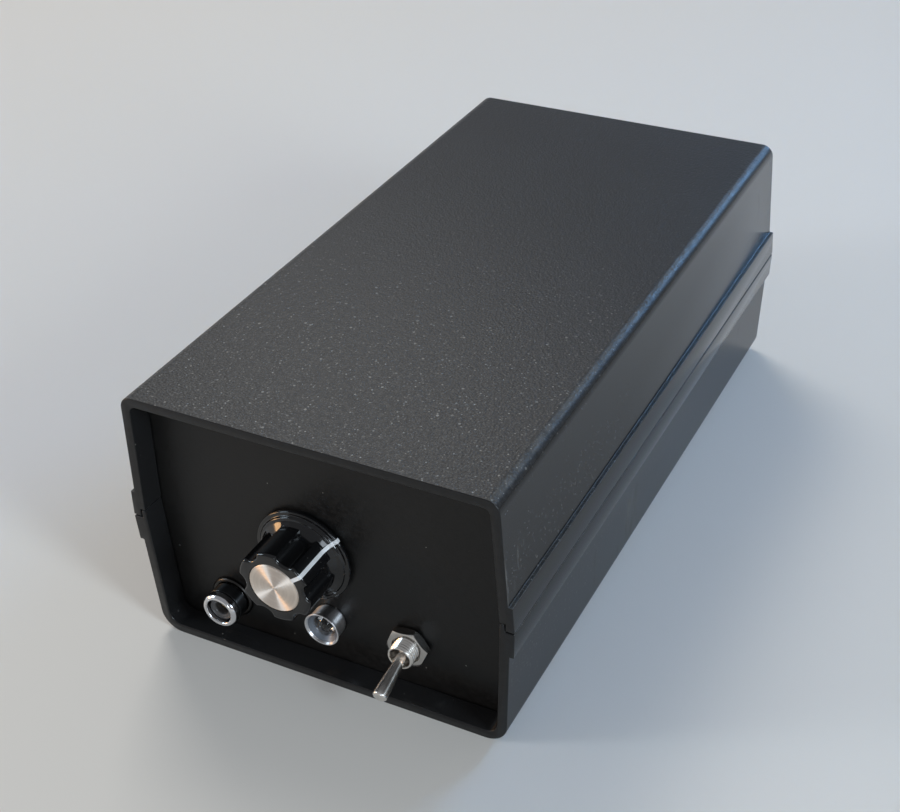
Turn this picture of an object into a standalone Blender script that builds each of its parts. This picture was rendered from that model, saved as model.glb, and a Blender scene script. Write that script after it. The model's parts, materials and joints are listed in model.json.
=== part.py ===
"""Antenna tuner: a split plastic case with its panels, controls, sockets and tuning parts.

Metres, +Z up, the front faces -Y, and the origin is the centre of the case's flat underside.
Pieces on a panel are modelled about an empty on that panel: x across, y up and z out of the face.
"""

import math

import bmesh
import bpy

MM = 0.001

# Case
CASE_LENGTH = 163.0 * MM
CASE_WIDTH = 84.0 * MM
CASE_HEIGHT = 62.0 * MM
WALL = 2.15 * MM
DRAFT = 0.047
LOWER_RADIUS = 5.0 * MM
UPPER_RADIUS = 3.0 * MM
INNER_RADIUS = 1.6 * MM
BAND_HEIGHT = 6.4 * MM
BAND_PROUD = 0.95 * MM
PARTING_GAP = 0.4 * MM
TONGUE_HEIGHT = 1.9 * MM
TONGUE_WIDTH = 0.9 * MM
RIB_HEIGHT = 1.5 * MM
RIB_THICKNESS = 1.5 * MM

# Panels
RECESS = 5.9 * MM
PANEL_THICKNESS = 2.0 * MM
GROOVE_DEPTH = 1.0 * MM

# Gaps: between pieces that touch, and round a turning shaft
GAP = 0.3 * MM
BEARING_GAP = 0.15 * MM

# Case screws and the pillars that they join
PILLAR_INSET_X = 7.0 * MM
PILLAR_INSET_Y = 22.0 * MM
LOWER_PILLAR_RADIUS = 4.6 * MM
UPPER_PILLAR_RADIUS = 3.6 * MM
CASE_SCREW_RADIUS = 1.5 * MM
CASE_SCREW_HEAD_RADIUS = 2.8 * MM
CASE_SCREW_HEAD_HEIGHT = 1.8 * MM
CASE_SCREW_HEAD_DEPTH = 0.7 * MM
CASE_SCREW_GRIP = 12.0 * MM

# Tuning knob, seen from the front
KNOB_X = -5.6 * MM
KNOB_Z = 29.6 * MM
KNOB_HEIGHT = 12.2 * MM
KNOB_RADIUS = 8.4 * MM
KNOB_LOBES = 6
KNOB_LIFT = 0.5 * MM
POINTER_ANGLE = math.radians(38.0)
FLUTE_DEPTH = 1.3 * MM
FLUTE_HALF_ANGLE = math.radians(14.0)
SKIRT_RADIUS = 11.1 * MM
SKIRT_EDGE = 1.3 * MM
SKIRT_RISE = 1.8 * MM
INLAY_RADIUS = 5.75 * MM
INLAY_THICKNESS = 0.6 * MM
KNOB_FACE_THICKNESS = 2.0 * MM
SET_SCREW_RADIUS = 1.5 * MM
SET_SCREW_HEIGHT = 6.6 * MM
SET_SCREW_SINK = 0.9 * MM

# Tuning shaft and its panel bearing
SHAFT_RADIUS = 3.0 * MM
SHAFT_TAIL = 2.0 * MM
BEARING_RADIUS = 4.5 * MM
BEARING_FLANGE_RADIUS = 6.5 * MM
BEARING_FLANGE = 1.5 * MM
BEARING_NUT_FLATS = 12.0 * MM
BEARING_NUT_HEIGHT = 1.5 * MM

# Nuts behind the panels
SMALL_NUT_HEIGHT = 2.0 * MM
LARGE_NUT_HEIGHT = 2.5 * MM

# Air-spaced variable capacitor
CAPACITOR_SETBACK = 24.0 * MM
CAPACITOR_LENGTH = 31.0 * MM
FRAME_MARGIN = 0.7 * MM
FRAME_TOP_MARGIN = 5.0 * MM
FRAME_SHEET = 1.4 * MM
STATOR_MARGIN = 1.1 * MM
STATOR_CLEARANCE = 1.0 * MM
ROTOR_RADIUS = 14.0 * MM
ROTOR_HUB_RADIUS = 4.6 * MM
ROTOR_PLATES = 6
PLATE_THICKNESS = 0.6 * MM
PLATE_PITCH = 3.0 * MM
STATOR_ROD_HALF = 2.0 * MM
INSULATOR_THICKNESS = 3.0 * MM
INSULATOR_MARGIN = 1.0 * MM

# Indicator lamp
LAMP_X = -1.4 * MM
LAMP_Z = 12.9 * MM
BEZEL_HEIGHT = 3.9 * MM
BEZEL_RIM_RADIUS = 4.1 * MM
BEZEL_BODY_RADIUS = 3.7 * MM
BEZEL_THREAD = 5.0 * MM
BEZEL_LIP = 1.0 * MM
BEZEL_EDGE = 0.4 * MM
BEZEL_CUP = 2.2 * MM
BEZEL_NUT_FLATS = 9.5 * MM
LAMP_RADIUS = 2.5 * MM
LAMP_LENGTH = 8.5 * MM
LAMP_RECESS = 0.7 * MM
LAMP_LEG = 9.0 * MM

# Phono socket
PHONO_X = -26.3 * MM
PHONO_Z = 10.1 * MM
PHONO_HEIGHT = 5.9 * MM
PHONO_RADIUS = 4.25 * MM
PHONO_COLLAR_STEP = 0.1 * MM
PHONO_RING = 1.9 * MM
PHONO_FLANGE_RADIUS = 5.0 * MM
PHONO_FLANGE = 0.8 * MM
PHONO_BORE = 3.0 * MM
PHONO_WALL = 0.5 * MM
PHONO_FACE_SINK = 0.8 * MM
PHONO_PIN_BORE = 1.65 * MM
PHONO_BODY = 6.0 * MM
PHONO_NUT_FLATS = 10.0 * MM
PHONO_CONTACT_TAIL = 4.0 * MM
PHONO_CONTACT_WALL = 0.4 * MM
PHONO_CONTACT_SINK = 2.0 * MM
PHONO_CONTACT_FLOOR = 1.0 * MM

# Toggle switch
SWITCH_X = 17.8 * MM
SWITCH_Z = 13.4 * MM
SWITCH_BUSHING_RADIUS = 2.9 * MM
SWITCH_BUSHING_HEIGHT = 5.0 * MM
SWITCH_BUSHING_BORE = 2.3 * MM
SWITCH_NUT_FLATS = 8.5 * MM
SWITCH_NUT_TURN = math.radians(8.0)
SWITCH_NUT_HEIGHT = 2.0 * MM
SWITCH_REAR_NUT_HEIGHT = 1.6 * MM
SWITCH_PLATE = 0.8 * MM
SWITCH_CUP = 2.2 * MM
SWITCH_WIDTH = 8.0 * MM
SWITCH_TALL = 13.0 * MM
SWITCH_DEPTH = 9.5 * MM
LEVER_LENGTH = 9.2 * MM
LEVER_NECK_RADIUS = 1.15 * MM
LEVER_TIP_RADIUS = 1.55 * MM
LEVER_PIVOT_DEPTH = 3.0 * MM
LEVER_TILT = math.radians(14.0)
TERMINAL_PITCH = 4.7 * MM
TERMINAL_SIZE = (2.0 * MM, 0.8 * MM, 4.0 * MM)

# Coaxial socket on the rear panel
COAX_X = 20.0 * MM
COAX_Z = 24.0 * MM
COAX_HEIGHT = 11.5 * MM
COAX_RADIUS = 4.8 * MM
COAX_BORE = 4.1 * MM
COAX_BORE_DEPTH = 8.5 * MM
COAX_BODY = 9.0 * MM
COAX_BODY_BORE = 3.2 * MM
COAX_FLANGE_FLATS = 13.0 * MM
COAX_FLANGE = 2.0 * MM
COAX_LUG_RADIUS = 1.0 * MM
COAX_LUG_REACH = 5.6 * MM
COAX_LUG_SETBACK = 4.0 * MM
COAX_THREAD_RADIUS = 4.7 * MM
COAX_NUT_FLATS = 13.0 * MM
COAX_CONTACT_RADIUS = 1.1 * MM
COAX_CONTACT_BORE = 0.66 * MM
COAX_CONTACT_TAIL = 4.0 * MM
COAX_CONTACT_SINK = 0.5 * MM
COAX_NOSE_RADIUS = 2.3 * MM
COAX_NOSE_SINK = 1.5 * MM

# Counterpoise socket on the rear panel
GROUND_X = -20.0 * MM
GROUND_HEAD_RADIUS = 5.5 * MM
GROUND_HEAD = 3.0 * MM
GROUND_BEVEL = 0.6 * MM
GROUND_BODY = 9.0 * MM
GROUND_WALL = 0.9 * MM
GROUND_BORE = 2.05 * MM
GROUND_SLEEVE_WALL = 0.8 * MM
GROUND_SLEEVE_TAIL = 3.0 * MM
GROUND_SLEEVE_FLOOR = 2.0 * MM

# Circuit board and what stands on it
BOARD_WIDTH = 56.0 * MM
BOARD_LENGTH = 62.0 * MM
BOARD_THICKNESS = 1.6 * MM
BOARD_BEHIND_CAPACITOR = 9.0 * MM
BOARD_STAND = 8.0 * MM
BOARD_SCREW_INSET = 4.0 * MM
POST_RADIUS = 2.6 * MM
POST_SCREW_RADIUS = 1.2 * MM
POST_SCREW_HEAD = 2.3 * MM
CORE_RADIUS = 12.0 * MM
CORE_BORE = 7.1 * MM
CORE_HEIGHT = 7.9 * MM
CORE_BEVEL = 0.8 * MM
CORE_EDGE = 6.0 * MM
WIRE_RADIUS = 0.4 * MM
WINDING_TURNS = 14
WINDING_ARC = math.radians(300.0)
RESISTOR_RADIUS = 2.2 * MM
RESISTOR_LENGTH = 9.0 * MM
RESISTORS = 3
RESISTOR_X = 8.0 * MM
DIODE_RADIUS = 1.1 * MM
DIODE_LENGTH = 4.0 * MM
DIODE_X = -10.0 * MM
ROW_EDGE = 8.0 * MM
LEAD_RADIUS = 0.35 * MM
LEG_SWELL = 0.07 * MM
LEAD_SPAN = 2.5 * MM
BEAD = 0.5 * MM
HOOKUP_RADIUS = 0.8 * MM
COAX_LEAD_RADIUS = 1.4 * MM
LEAD_SIDE_GAP = 3.0 * MM
LEAD_BEND = 4.0 * MM
PHONO_LEAD_START = 12.0 * MM
PHONO_LEAD_END = 5.0 * MM
COAX_LEAD_START = 14.0 * MM
COAX_LEAD_END = 22.0 * MM

# Facets on round pieces
SIDES = 24
FINE_SIDES = 36
SMALL_SIDES = 12
CORNER_STEPS = 4

# Places that follow from the sizes
PARTING = CASE_HEIGHT / 2
PANEL_FACE = CASE_LENGTH / 2 - RECESS
PILLAR_X = CASE_WIDTH / 2 - PILLAR_INSET_X
PILLAR_Y = CASE_LENGTH / 2 - PILLAR_INSET_Y
BEHIND_PANEL = -PANEL_THICKNESS - GAP
FRAME_FRONT = -PANEL_THICKNESS - CAPACITOR_SETBACK
FRAME_BACK = FRAME_FRONT - CAPACITOR_LENGTH
CAPACITOR_BACK_Y = -PANEL_FACE - FRAME_BACK
STATOR_RADIUS = ROTOR_RADIUS + GAP + 1.5 * STATOR_ROD_HALF
CAPACITOR_WIDTH = 2 * (STATOR_RADIUS + 1.5 * STATOR_ROD_HALF + FRAME_MARGIN)
FRAME_TOP = KNOB_Z + ROTOR_RADIUS + FRAME_TOP_MARGIN
FRAME_FLOOR = KNOB_Z - STATOR_RADIUS - STATOR_MARGIN - POST_SCREW_RADIUS - GAP
FRAME_STAND = FRAME_FLOOR - FRAME_SHEET - GAP
BOARD_Y = CAPACITOR_BACK_Y + BOARD_BEHIND_CAPACITOR + BOARD_LENGTH / 2
BOARD_TOP = BOARD_STAND + GAP + BOARD_THICKNESS
FACE_FRONT = (math.pi / 2, 0, 0)
FACE_REAR = (math.pi / 2, 0, math.pi)
FLAT = (0, 0, 0)


def clear_scene():
    """Removes every object of the startup scene."""
    for obj in list(bpy.data.objects):
        bpy.data.objects.remove(obj)


def finish(name, colour, roughness, metallic=0.0, alpha=1.0):
    """One Principled material."""
    material = bpy.data.materials.new(name)
    material.use_nodes = True
    shader = material.node_tree.nodes["Principled BSDF"]
    shader.inputs["Base Color"].default_value = (*colour, 1.0)
    shader.inputs["Roughness"].default_value = roughness
    shader.inputs["Metallic"].default_value = metallic
    shader.inputs["Alpha"].default_value = alpha
    return material


def place(obj, parent=None, at=(0, 0, 0), turn=FLAT):
    """Links an object, and puts it at its place under its parent."""
    bpy.context.scene.collection.objects.link(obj)
    obj.parent = parent
    obj.location = at
    obj.rotation_euler = turn
    return obj


def empty(name, at, turn=FLAT, parent=None):
    """A guide that a group of pieces is placed by."""
    return place(bpy.data.objects.new(name, None), parent, at, turn)


def solid(name, bm, material, parent=None, at=(0, 0, 0), turn=FLAT):
    """Makes an object of a closed bmesh, smooth where its faces nearly line up."""
    bmesh.ops.recalc_face_normals(bm, faces=bm.faces)
    mesh = bpy.data.meshes.new(name)
    bm.to_mesh(mesh)
    bm.free()
    mesh.materials.append(material)
    mesh.shade_smooth()
    mesh.set_sharp_from_angle(angle=math.radians(30))
    return place(bpy.data.objects.new(name, mesh), parent, at, turn)


def turned(name, profile, material, parent=None, at=(0, 0, 0), turn=FLAT, sides=SIDES):
    """A solid of revolution about local Z from (radius, height) points, closed on the axis or as a ring."""
    bm = bmesh.new()
    points = [bm.verts.new((radius, 0, height)) for radius, height in profile]
    edges = [bm.edges.new(pair) for pair in zip(points, points[1:])]
    if profile[0][0] > 0:
        edges.append(bm.edges.new((points[-1], points[0])))
    bmesh.ops.spin(
        bm, geom=points + edges, cent=(0, 0, 0), axis=(0, 0, 1), angle=math.tau, steps=sides, use_merge=True
    )
    bmesh.ops.remove_doubles(bm, verts=bm.verts, dist=1e-7)
    return solid(name, bm, material, parent, at, turn)


def cylinder(name, radius, low, high, material, parent=None, at=(0, 0, 0), turn=FLAT, sides=SIDES):
    """A plain round bar along local Z."""
    profile = [(0, low), (radius, low), (radius, high), (0, high)]
    return turned(name, profile, material, parent, at, turn, sides)


def tube(name, outer, bore, low, high, material, parent=None, at=(0, 0, 0), turn=FLAT, sides=SIDES):
    """A plain round tube along local Z."""
    profile = [(bore, low), (outer, low), (outer, high), (bore, high)]
    return turned(name, profile, material, parent, at, turn, sides)


def prism(name, outline, low, high, material, parent=None, at=(0, 0, 0), turn=FLAT):
    """A flat outline in local X and Y, extruded from low to high along local Z."""
    bm = bmesh.new()
    face = bm.faces.new([bm.verts.new((x, y, low)) for x, y in outline])
    grown = bmesh.ops.extrude_face_region(bm, geom=[face])["geom"]
    moved = [item for item in grown if isinstance(item, bmesh.types.BMVert)]
    bmesh.ops.translate(bm, verts=moved, vec=(0, 0, high - low))
    return solid(name, bm, material, parent, at, turn)


def block(name, size, material, parent=None, at=(0, 0, 0), turn=FLAT):
    """A rectangular block whose underside is centred on its origin."""
    wide, long = size[0] / 2, size[1] / 2
    outline = [(-wide, -long), (wide, -long), (wide, long), (-wide, long)]
    return prism(name, outline, 0, size[2], material, parent, at, turn)


def helper(obj):
    """Marks an object as a cutter or as a shape that another one takes in."""
    obj.hide_render = True
    obj.display_type = "WIRE"
    return obj


def combine(obj, other, operation):
    """Adds a Boolean of the given kind, and hides its second object."""
    modifier = obj.modifiers.new(f"{operation.lower()}_{other.name}", "BOOLEAN")
    modifier.operation = operation
    modifier.solver = "EXACT"
    modifier.object = helper(other)


def cut(obj, *others):
    """Takes the other shapes out of an object."""
    for other in others:
        combine(obj, other, "DIFFERENCE")


def join(obj, *others):
    """Makes the other shapes part of an object."""
    for other in others:
        combine(obj, other, "UNION")


def hexagon(flats, turn=0.0):
    """A six-sided outline of a given distance across its flats, with two corners on X unless it is turned."""
    radius = flats / math.sqrt(3)
    angles = [turn + math.tau * step / 6 for step in range(6)]
    return [(radius * math.cos(angle), radius * math.sin(angle)) for angle in angles]


def nut(name, flats, bore, low, high, material, parent, at=(0, 0, 0), turn=0.0):
    """A hexagon nut with a round bore."""
    piece = prism(name, hexagon(flats, turn), low, high, material, parent, at)
    hole = cylinder(name + "_hole", bore, low - GAP, high + GAP, material, parent, at)
    cut(piece, hole)
    return piece


def wire(name, route, radius, material, resolution=2):
    """A round wire with filled ends along a list of points."""
    curve = bpy.data.curves.new(name, "CURVE")
    curve.dimensions = "3D"
    curve.bevel_depth = radius
    curve.bevel_resolution = resolution
    curve.use_fill_caps = True
    spline = curve.splines.new("POLY")
    spline.points.add(len(route) - 1)
    for point, place_of_point in zip(spline.points, route):
        point.co = (*place_of_point, 1.0)
    curve.materials.append(material)
    return place(bpy.data.objects.new(name, curve))


def smooth_route(points, steps=4):
    """A smooth curve through a few chosen points, by Catmull-Rom."""
    ends = [points[0], *points, points[-1]]
    route = []
    for before, start, stop, after in zip(ends, ends[1:], ends[2:], ends[3:]):
        for step in range(steps):
            t = step / steps
            point = []
            for a, b, c, d in zip(before, start, stop, after):
                square = 2 * a - 5 * b + 4 * c - d
                cube = 3 * b - a - 3 * c + d
                point.append((2 * b + (c - a) * t + square * t**2 + cube * t**3) / 2)
            route.append(tuple(point))
    return route + [tuple(points[-1])]


def side_x(height, inset=0.0):
    """Half the width of the case at a height, less an inset: the walls lean in from the parting line."""
    return CASE_WIDTH / 2 + DRAFT * min(height, CASE_HEIGHT - height) - inset


def lower_corner(inset, radius):
    """The right-hand arc from the flat underside round to the leaning wall."""
    lean = math.atan(DRAFT)
    centre_z = inset + radius
    centre_x = side_x(centre_z, inset) - radius / math.cos(lean)
    arc = []
    for step in range(CORNER_STEPS + 1):
        angle = -math.pi / 2 + (math.pi / 2 - lean) * step / CORNER_STEPS
        arc.append((centre_x + radius * math.cos(angle), centre_z + radius * math.sin(angle)))
    return arc


def upside_down(points):
    """The same points measured down from the top of the case."""
    return [(x, CASE_HEIGHT - height) for x, height in points]


def both_sides(points):
    """A right-hand outline with its mirror image, as one loop."""
    return points + [(-x, height) for x, height in reversed(points) if x > 0]


def lower_shell_outline():
    """Section of the bottom half: wall, side band, and a tongue along the inside of its edge."""
    edge = PARTING - PARTING_GAP / 2
    band = PARTING - BAND_HEIGHT
    inside = side_x(edge, WALL)
    outer = [(0, 0), *lower_corner(0, LOWER_RADIUS), (side_x(band), band)]
    outer += [(side_x(band) + BAND_PROUD, band), (side_x(edge) + BAND_PROUD, edge)]
    tongue = [(inside + TONGUE_WIDTH, edge), (inside + TONGUE_WIDTH, edge + TONGUE_HEIGHT)]
    tongue += [(inside, edge + TONGUE_HEIGHT)]
    inner = [*reversed(lower_corner(WALL, LOWER_RADIUS - WALL)), (0, WALL)]
    return both_sides(outer + tongue + inner)


def upper_shell_outline():
    """Section of the top half, with a step that clears the tongue."""
    edge = PARTING - PARTING_GAP / 2
    band = PARTING - BAND_HEIGHT
    step = PARTING - PARTING_GAP / 2 - TONGUE_HEIGHT - GAP + PARTING_GAP
    inside = side_x(edge, WALL)
    outer = [(0, 0), *lower_corner(0, UPPER_RADIUS), (side_x(band), band)]
    outer += [(side_x(band) + BAND_PROUD, band), (side_x(edge) + BAND_PROUD, edge)]
    clear = inside + TONGUE_WIDTH + GAP
    rebate = [(clear, edge), (clear, step), (side_x(step, WALL), step)]
    inner = [*reversed(lower_corner(WALL, INNER_RADIUS)), (0, WALL)]
    return both_sides(upside_down(outer + rebate + inner))


def rib_outline(radius):
    """Section of the rib that a panel rests against, for the bottom half."""
    edge = PARTING - PARTING_GAP / 2 - TONGUE_HEIGHT
    buried = WALL - GROOVE_DEPTH
    outer = [(0, buried), *lower_corner(buried, radius), (side_x(edge, buried), edge)]
    proud = WALL + RIB_HEIGHT
    inner = [(side_x(edge, proud), edge), *reversed(lower_corner(proud, radius)), (0, proud)]
    return both_sides(outer + inner)


def panel_outline(inset):
    """Outline of a panel that stands in the grooves of both halves, inset from the outer faces."""
    lower = [(0, inset), *lower_corner(inset, INNER_RADIUS), (side_x(PARTING, inset), PARTING)]
    upper = upside_down([(0, inset), *lower_corner(inset, INNER_RADIUS)])
    return both_sides(lower + list(reversed(upper)))


def groove(name, end, material, case):
    """The cutter for the slot that holds a panel at one end of the case."""
    inset = WALL - GROOVE_DEPTH
    centre = end * (PANEL_FACE - PANEL_THICKNESS / 2)
    half = PANEL_THICKNESS / 2 + GAP
    return prism(name, panel_outline(inset), centre - half, centre + half, material, case)


def fit_panel_rests(shell, name, outline, material, case):
    """Adds the ribs behind both panels, then cuts the grooves."""
    for end, label in ((1, "front"), (-1, "rear")):
        near = end * (PANEL_FACE - PANEL_THICKNESS)
        far = near - end * (RIB_THICKNESS + GAP)
        join(shell, prism(f"{name}_{label}_rib", outline, min(near, far), max(near, far), material, case))
        cut(shell, groove(f"{name}_{label}_groove", end, material, case))


def pillar_places():
    """The four corners where the case is screwed together."""
    return [(side * PILLAR_X, end * PILLAR_Y) for end in (-1, 1) for side in (-1, 1)]


def post_places():
    """Where the circuit board and the capacitor are screwed down: four and two places, as (x, y)."""
    wide = BOARD_WIDTH / 2 - BOARD_SCREW_INSET
    long = BOARD_LENGTH / 2 - BOARD_SCREW_INSET
    board = [(side * wide, BOARD_Y + end * long) for end in (-1, 1) for side in (-1, 1)]
    middle = (-PANEL_FACE - FRAME_FRONT + CAPACITOR_BACK_Y) / 2
    frame = [(KNOB_X + side * (CAPACITOR_WIDTH / 2 - BOARD_SCREW_INSET), middle) for side in (-1, 1)]
    return board, frame


def make_bottom_shell(plastic, case):
    """Bottom half with pillars, board posts, ribs and screw holes."""
    shell = prism("bottom_shell", lower_shell_outline(), -CASE_LENGTH / 2, CASE_LENGTH / 2, plastic, case)
    fit_panel_rests(shell, "bottom", rib_outline(INNER_RADIUS), plastic, case)
    buried = WALL / 2
    edge = PARTING - PARTING_GAP / 2
    for number, (x, y) in enumerate(pillar_places(), 1):
        name = f"lower_pillar_{number}"
        at = (x, y, 0)
        join(shell, cylinder(name, LOWER_PILLAR_RADIUS, buried, edge, plastic, at=at, sides=SMALL_SIDES))
    board, frame = post_places()
    posts = [(spot, BOARD_STAND) for spot in board] + [(spot, FRAME_STAND) for spot in frame]
    pilot = POST_SCREW_RADIUS + GAP
    for number, ((x, y), high) in enumerate(posts, 1):
        at = (x, y, 0)
        join(shell, cylinder(f"post_{number}", POST_RADIUS, buried, high, plastic, at=at, sides=SMALL_SIDES))
        name = f"post_pilot_{number}"
        cut(shell, cylinder(name, pilot, WALL, high + GAP, plastic, at=at, sides=SMALL_SIDES))
    for number, (x, y) in enumerate(pillar_places(), 1):
        bore = CASE_SCREW_RADIUS + GAP
        sink = CASE_SCREW_HEAD_RADIUS + GAP
        depth = CASE_SCREW_HEAD_DEPTH + CASE_SCREW_HEAD_HEIGHT + GAP
        end = PARTING + GAP
        profile = [(0, -GAP), (sink, -GAP), (sink, depth), (bore, depth), (bore, end), (0, end)]
        cut(shell, turned(f"lower_pillar_bore_{number}", profile, plastic, at=(x, y, 0), sides=SMALL_SIDES))


def make_top_shell(plastic, case):
    """Top half with the pillars that the case screws bite into."""
    shell = prism("top_shell", upper_shell_outline(), -CASE_LENGTH / 2, CASE_LENGTH / 2, plastic, case)
    fit_panel_rests(shell, "top", upside_down(rib_outline(INNER_RADIUS)), plastic, case)
    for number, (x, y) in enumerate(pillar_places(), 1):
        low = PARTING + PARTING_GAP / 2
        high = CASE_HEIGHT - WALL / 2
        name = f"upper_pillar_{number}"
        at = (x, y, 0)
        join(shell, cylinder(name, UPPER_PILLAR_RADIUS, low, high, plastic, at=at, sides=SMALL_SIDES))
        bore = CASE_SCREW_RADIUS + GAP
        end = PARTING + CASE_SCREW_GRIP + GAP
        cut(shell, cylinder(f"{name}_bore", bore, low - GAP, end, plastic, at=at, sides=SMALL_SIDES))


def make_case_screws(steel):
    """Four long screws put in from underneath."""
    base = CASE_SCREW_HEAD_DEPTH
    neck = base + CASE_SCREW_HEAD_HEIGHT
    tip = PARTING + CASE_SCREW_GRIP
    profile = [(0, base), (CASE_SCREW_HEAD_RADIUS, base), (CASE_SCREW_HEAD_RADIUS, neck)]
    profile += [(CASE_SCREW_RADIUS, neck), (CASE_SCREW_RADIUS, tip - CASE_SCREW_RADIUS), (0, tip)]
    for number, (x, y) in enumerate(pillar_places(), 1):
        turned(f"case_screw_{number}", profile, steel, at=(x, y, 0), sides=SMALL_SIDES)


def make_panel(name, holes, plastic, guide):
    """A flat panel with round holes, given as (x, height, radius)."""
    outline = panel_outline(WALL - GROOVE_DEPTH + GAP)
    panel = prism(name, outline, -PANEL_THICKNESS, 0, plastic, guide)
    for number, (x, height, radius) in enumerate(holes, 1):
        at = (x, height, 0)
        low = -PANEL_THICKNESS - GAP
        cut(panel, cylinder(f"{name}_hole_{number}", radius, low, GAP, plastic, guide, at))


def fluted_outline():
    """Outline of the knob's body, with a lobe under the pointer and round flutes between the lobes."""
    cosine = math.cos(FLUTE_HALF_ANGLE)
    floor = KNOB_RADIUS - FLUTE_DEPTH
    centre = (KNOB_RADIUS**2 - floor**2) / (2 * (KNOB_RADIUS * cosine - floor))
    radius = centre - floor
    spacing = math.tau / KNOB_LOBES
    across = [-1, -0.66, -0.33, 0, 0.33, 0.66, 1]
    outline = []
    for lobe in range(KNOB_LOBES):
        middle = POINTER_ANGLE + (lobe + 0.5) * spacing
        for share in across:
            turn = share * FLUTE_HALF_ANGLE
            reach = centre * math.cos(turn) - math.sqrt(radius**2 - (centre * math.sin(turn)) ** 2)
            outline.append((reach * math.cos(middle + turn), reach * math.sin(middle + turn)))
        for step in (0.2, 0.4, 0.6, 0.8):
            angle = middle + FLUTE_HALF_ANGLE + step * (spacing - 2 * FLUTE_HALF_ANGLE)
            outline.append((KNOB_RADIUS * math.cos(angle), KNOB_RADIUS * math.sin(angle)))
    return outline


def make_knob(black, metal, steel, axis):
    """Fluted knob with its skirt, the metal disc in its face and the screw that grips the shaft."""
    low = KNOB_LIFT
    rise = low + SKIRT_EDGE + SKIRT_RISE
    skirt = [(0, low), (SKIRT_RADIUS, low), (SKIRT_RADIUS, low + SKIRT_EDGE), (KNOB_RADIUS, rise), (0, rise)]
    knob = turned("tuning_knob", skirt, black, axis, sides=FINE_SIDES)
    join(knob, prism("knob_body", fluted_outline(), low + SKIRT_EDGE, KNOB_HEIGHT, black, axis))
    seat = KNOB_HEIGHT - INLAY_THICKNESS
    cut(knob, cylinder("inlay_seat", INLAY_RADIUS + GAP, seat, KNOB_HEIGHT + GAP, black, axis))
    bore_end = KNOB_HEIGHT - KNOB_FACE_THICKNESS
    cut(knob, cylinder("knob_bore", SHAFT_RADIUS + GAP, low - GAP, bore_end, black, axis))
    nut_room = BEARING_NUT_FLATS / math.sqrt(3) + GAP
    cut(knob, cylinder("knob_nut_room", nut_room, low - GAP, BEARING_NUT_HEIGHT + 3 * GAP, black, axis))
    disc_low = seat + GAP
    cylinder("knob_inlay", INLAY_RADIUS, disc_low, disc_low + INLAY_THICKNESS, metal, axis, sides=FINE_SIDES)
    away = POINTER_ANGLE + math.pi
    turn = (0, math.pi / 2, away)
    at = (0, 0, SET_SCREW_HEIGHT)
    hole = SET_SCREW_RADIUS + GAP
    reach = KNOB_RADIUS + GAP
    cut(knob, cylinder("set_screw_hole", hole, SHAFT_RADIUS, reach, black, axis, at, turn, SMALL_SIDES))
    start = SHAFT_RADIUS + GAP
    stop = KNOB_RADIUS - SET_SCREW_SINK
    cylinder("knob_set_screw", SET_SCREW_RADIUS, start, stop, steel, axis, at, turn, SMALL_SIDES)


def make_shaft(steel, brass, axis, front):
    """The tuning shaft, and the flanged bearing and nut that carry it through the panel."""
    end = KNOB_HEIGHT - KNOB_FACE_THICKNESS - GAP
    tail = FRAME_BACK - SHAFT_TAIL
    cylinder("tuning_shaft", SHAFT_RADIUS, tail, end, steel, axis, sides=FINE_SIDES)
    at = (KNOB_X, KNOB_Z, 0)
    bore = SHAFT_RADIUS + BEARING_GAP
    back = BEHIND_PANEL - BEARING_FLANGE
    tip = BEARING_NUT_HEIGHT + GAP
    profile = [(bore, back), (BEARING_FLANGE_RADIUS, back), (BEARING_FLANGE_RADIUS, BEHIND_PANEL)]
    profile += [(BEARING_RADIUS, BEHIND_PANEL), (BEARING_RADIUS, tip), (bore, tip)]
    turned("shaft_bearing", profile, brass, front, at, sides=FINE_SIDES)
    nut("bearing_nut", BEARING_NUT_FLATS, BEARING_RADIUS + GAP, GAP, tip, brass, front, at)


def half_ring(inner, outer, start, steps=10):
    """Outline of half a ring whose straight edge starts at an angle."""
    outline = []
    for step in range(steps + 1):
        angle = start + math.pi * step / steps
        outline.append((outer * math.cos(angle), outer * math.sin(angle)))
    for step in reversed(range(steps + 1)):
        angle = start + math.pi * step / steps
        outline.append((inner * math.cos(angle), inner * math.sin(angle)))
    return outline


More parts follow.
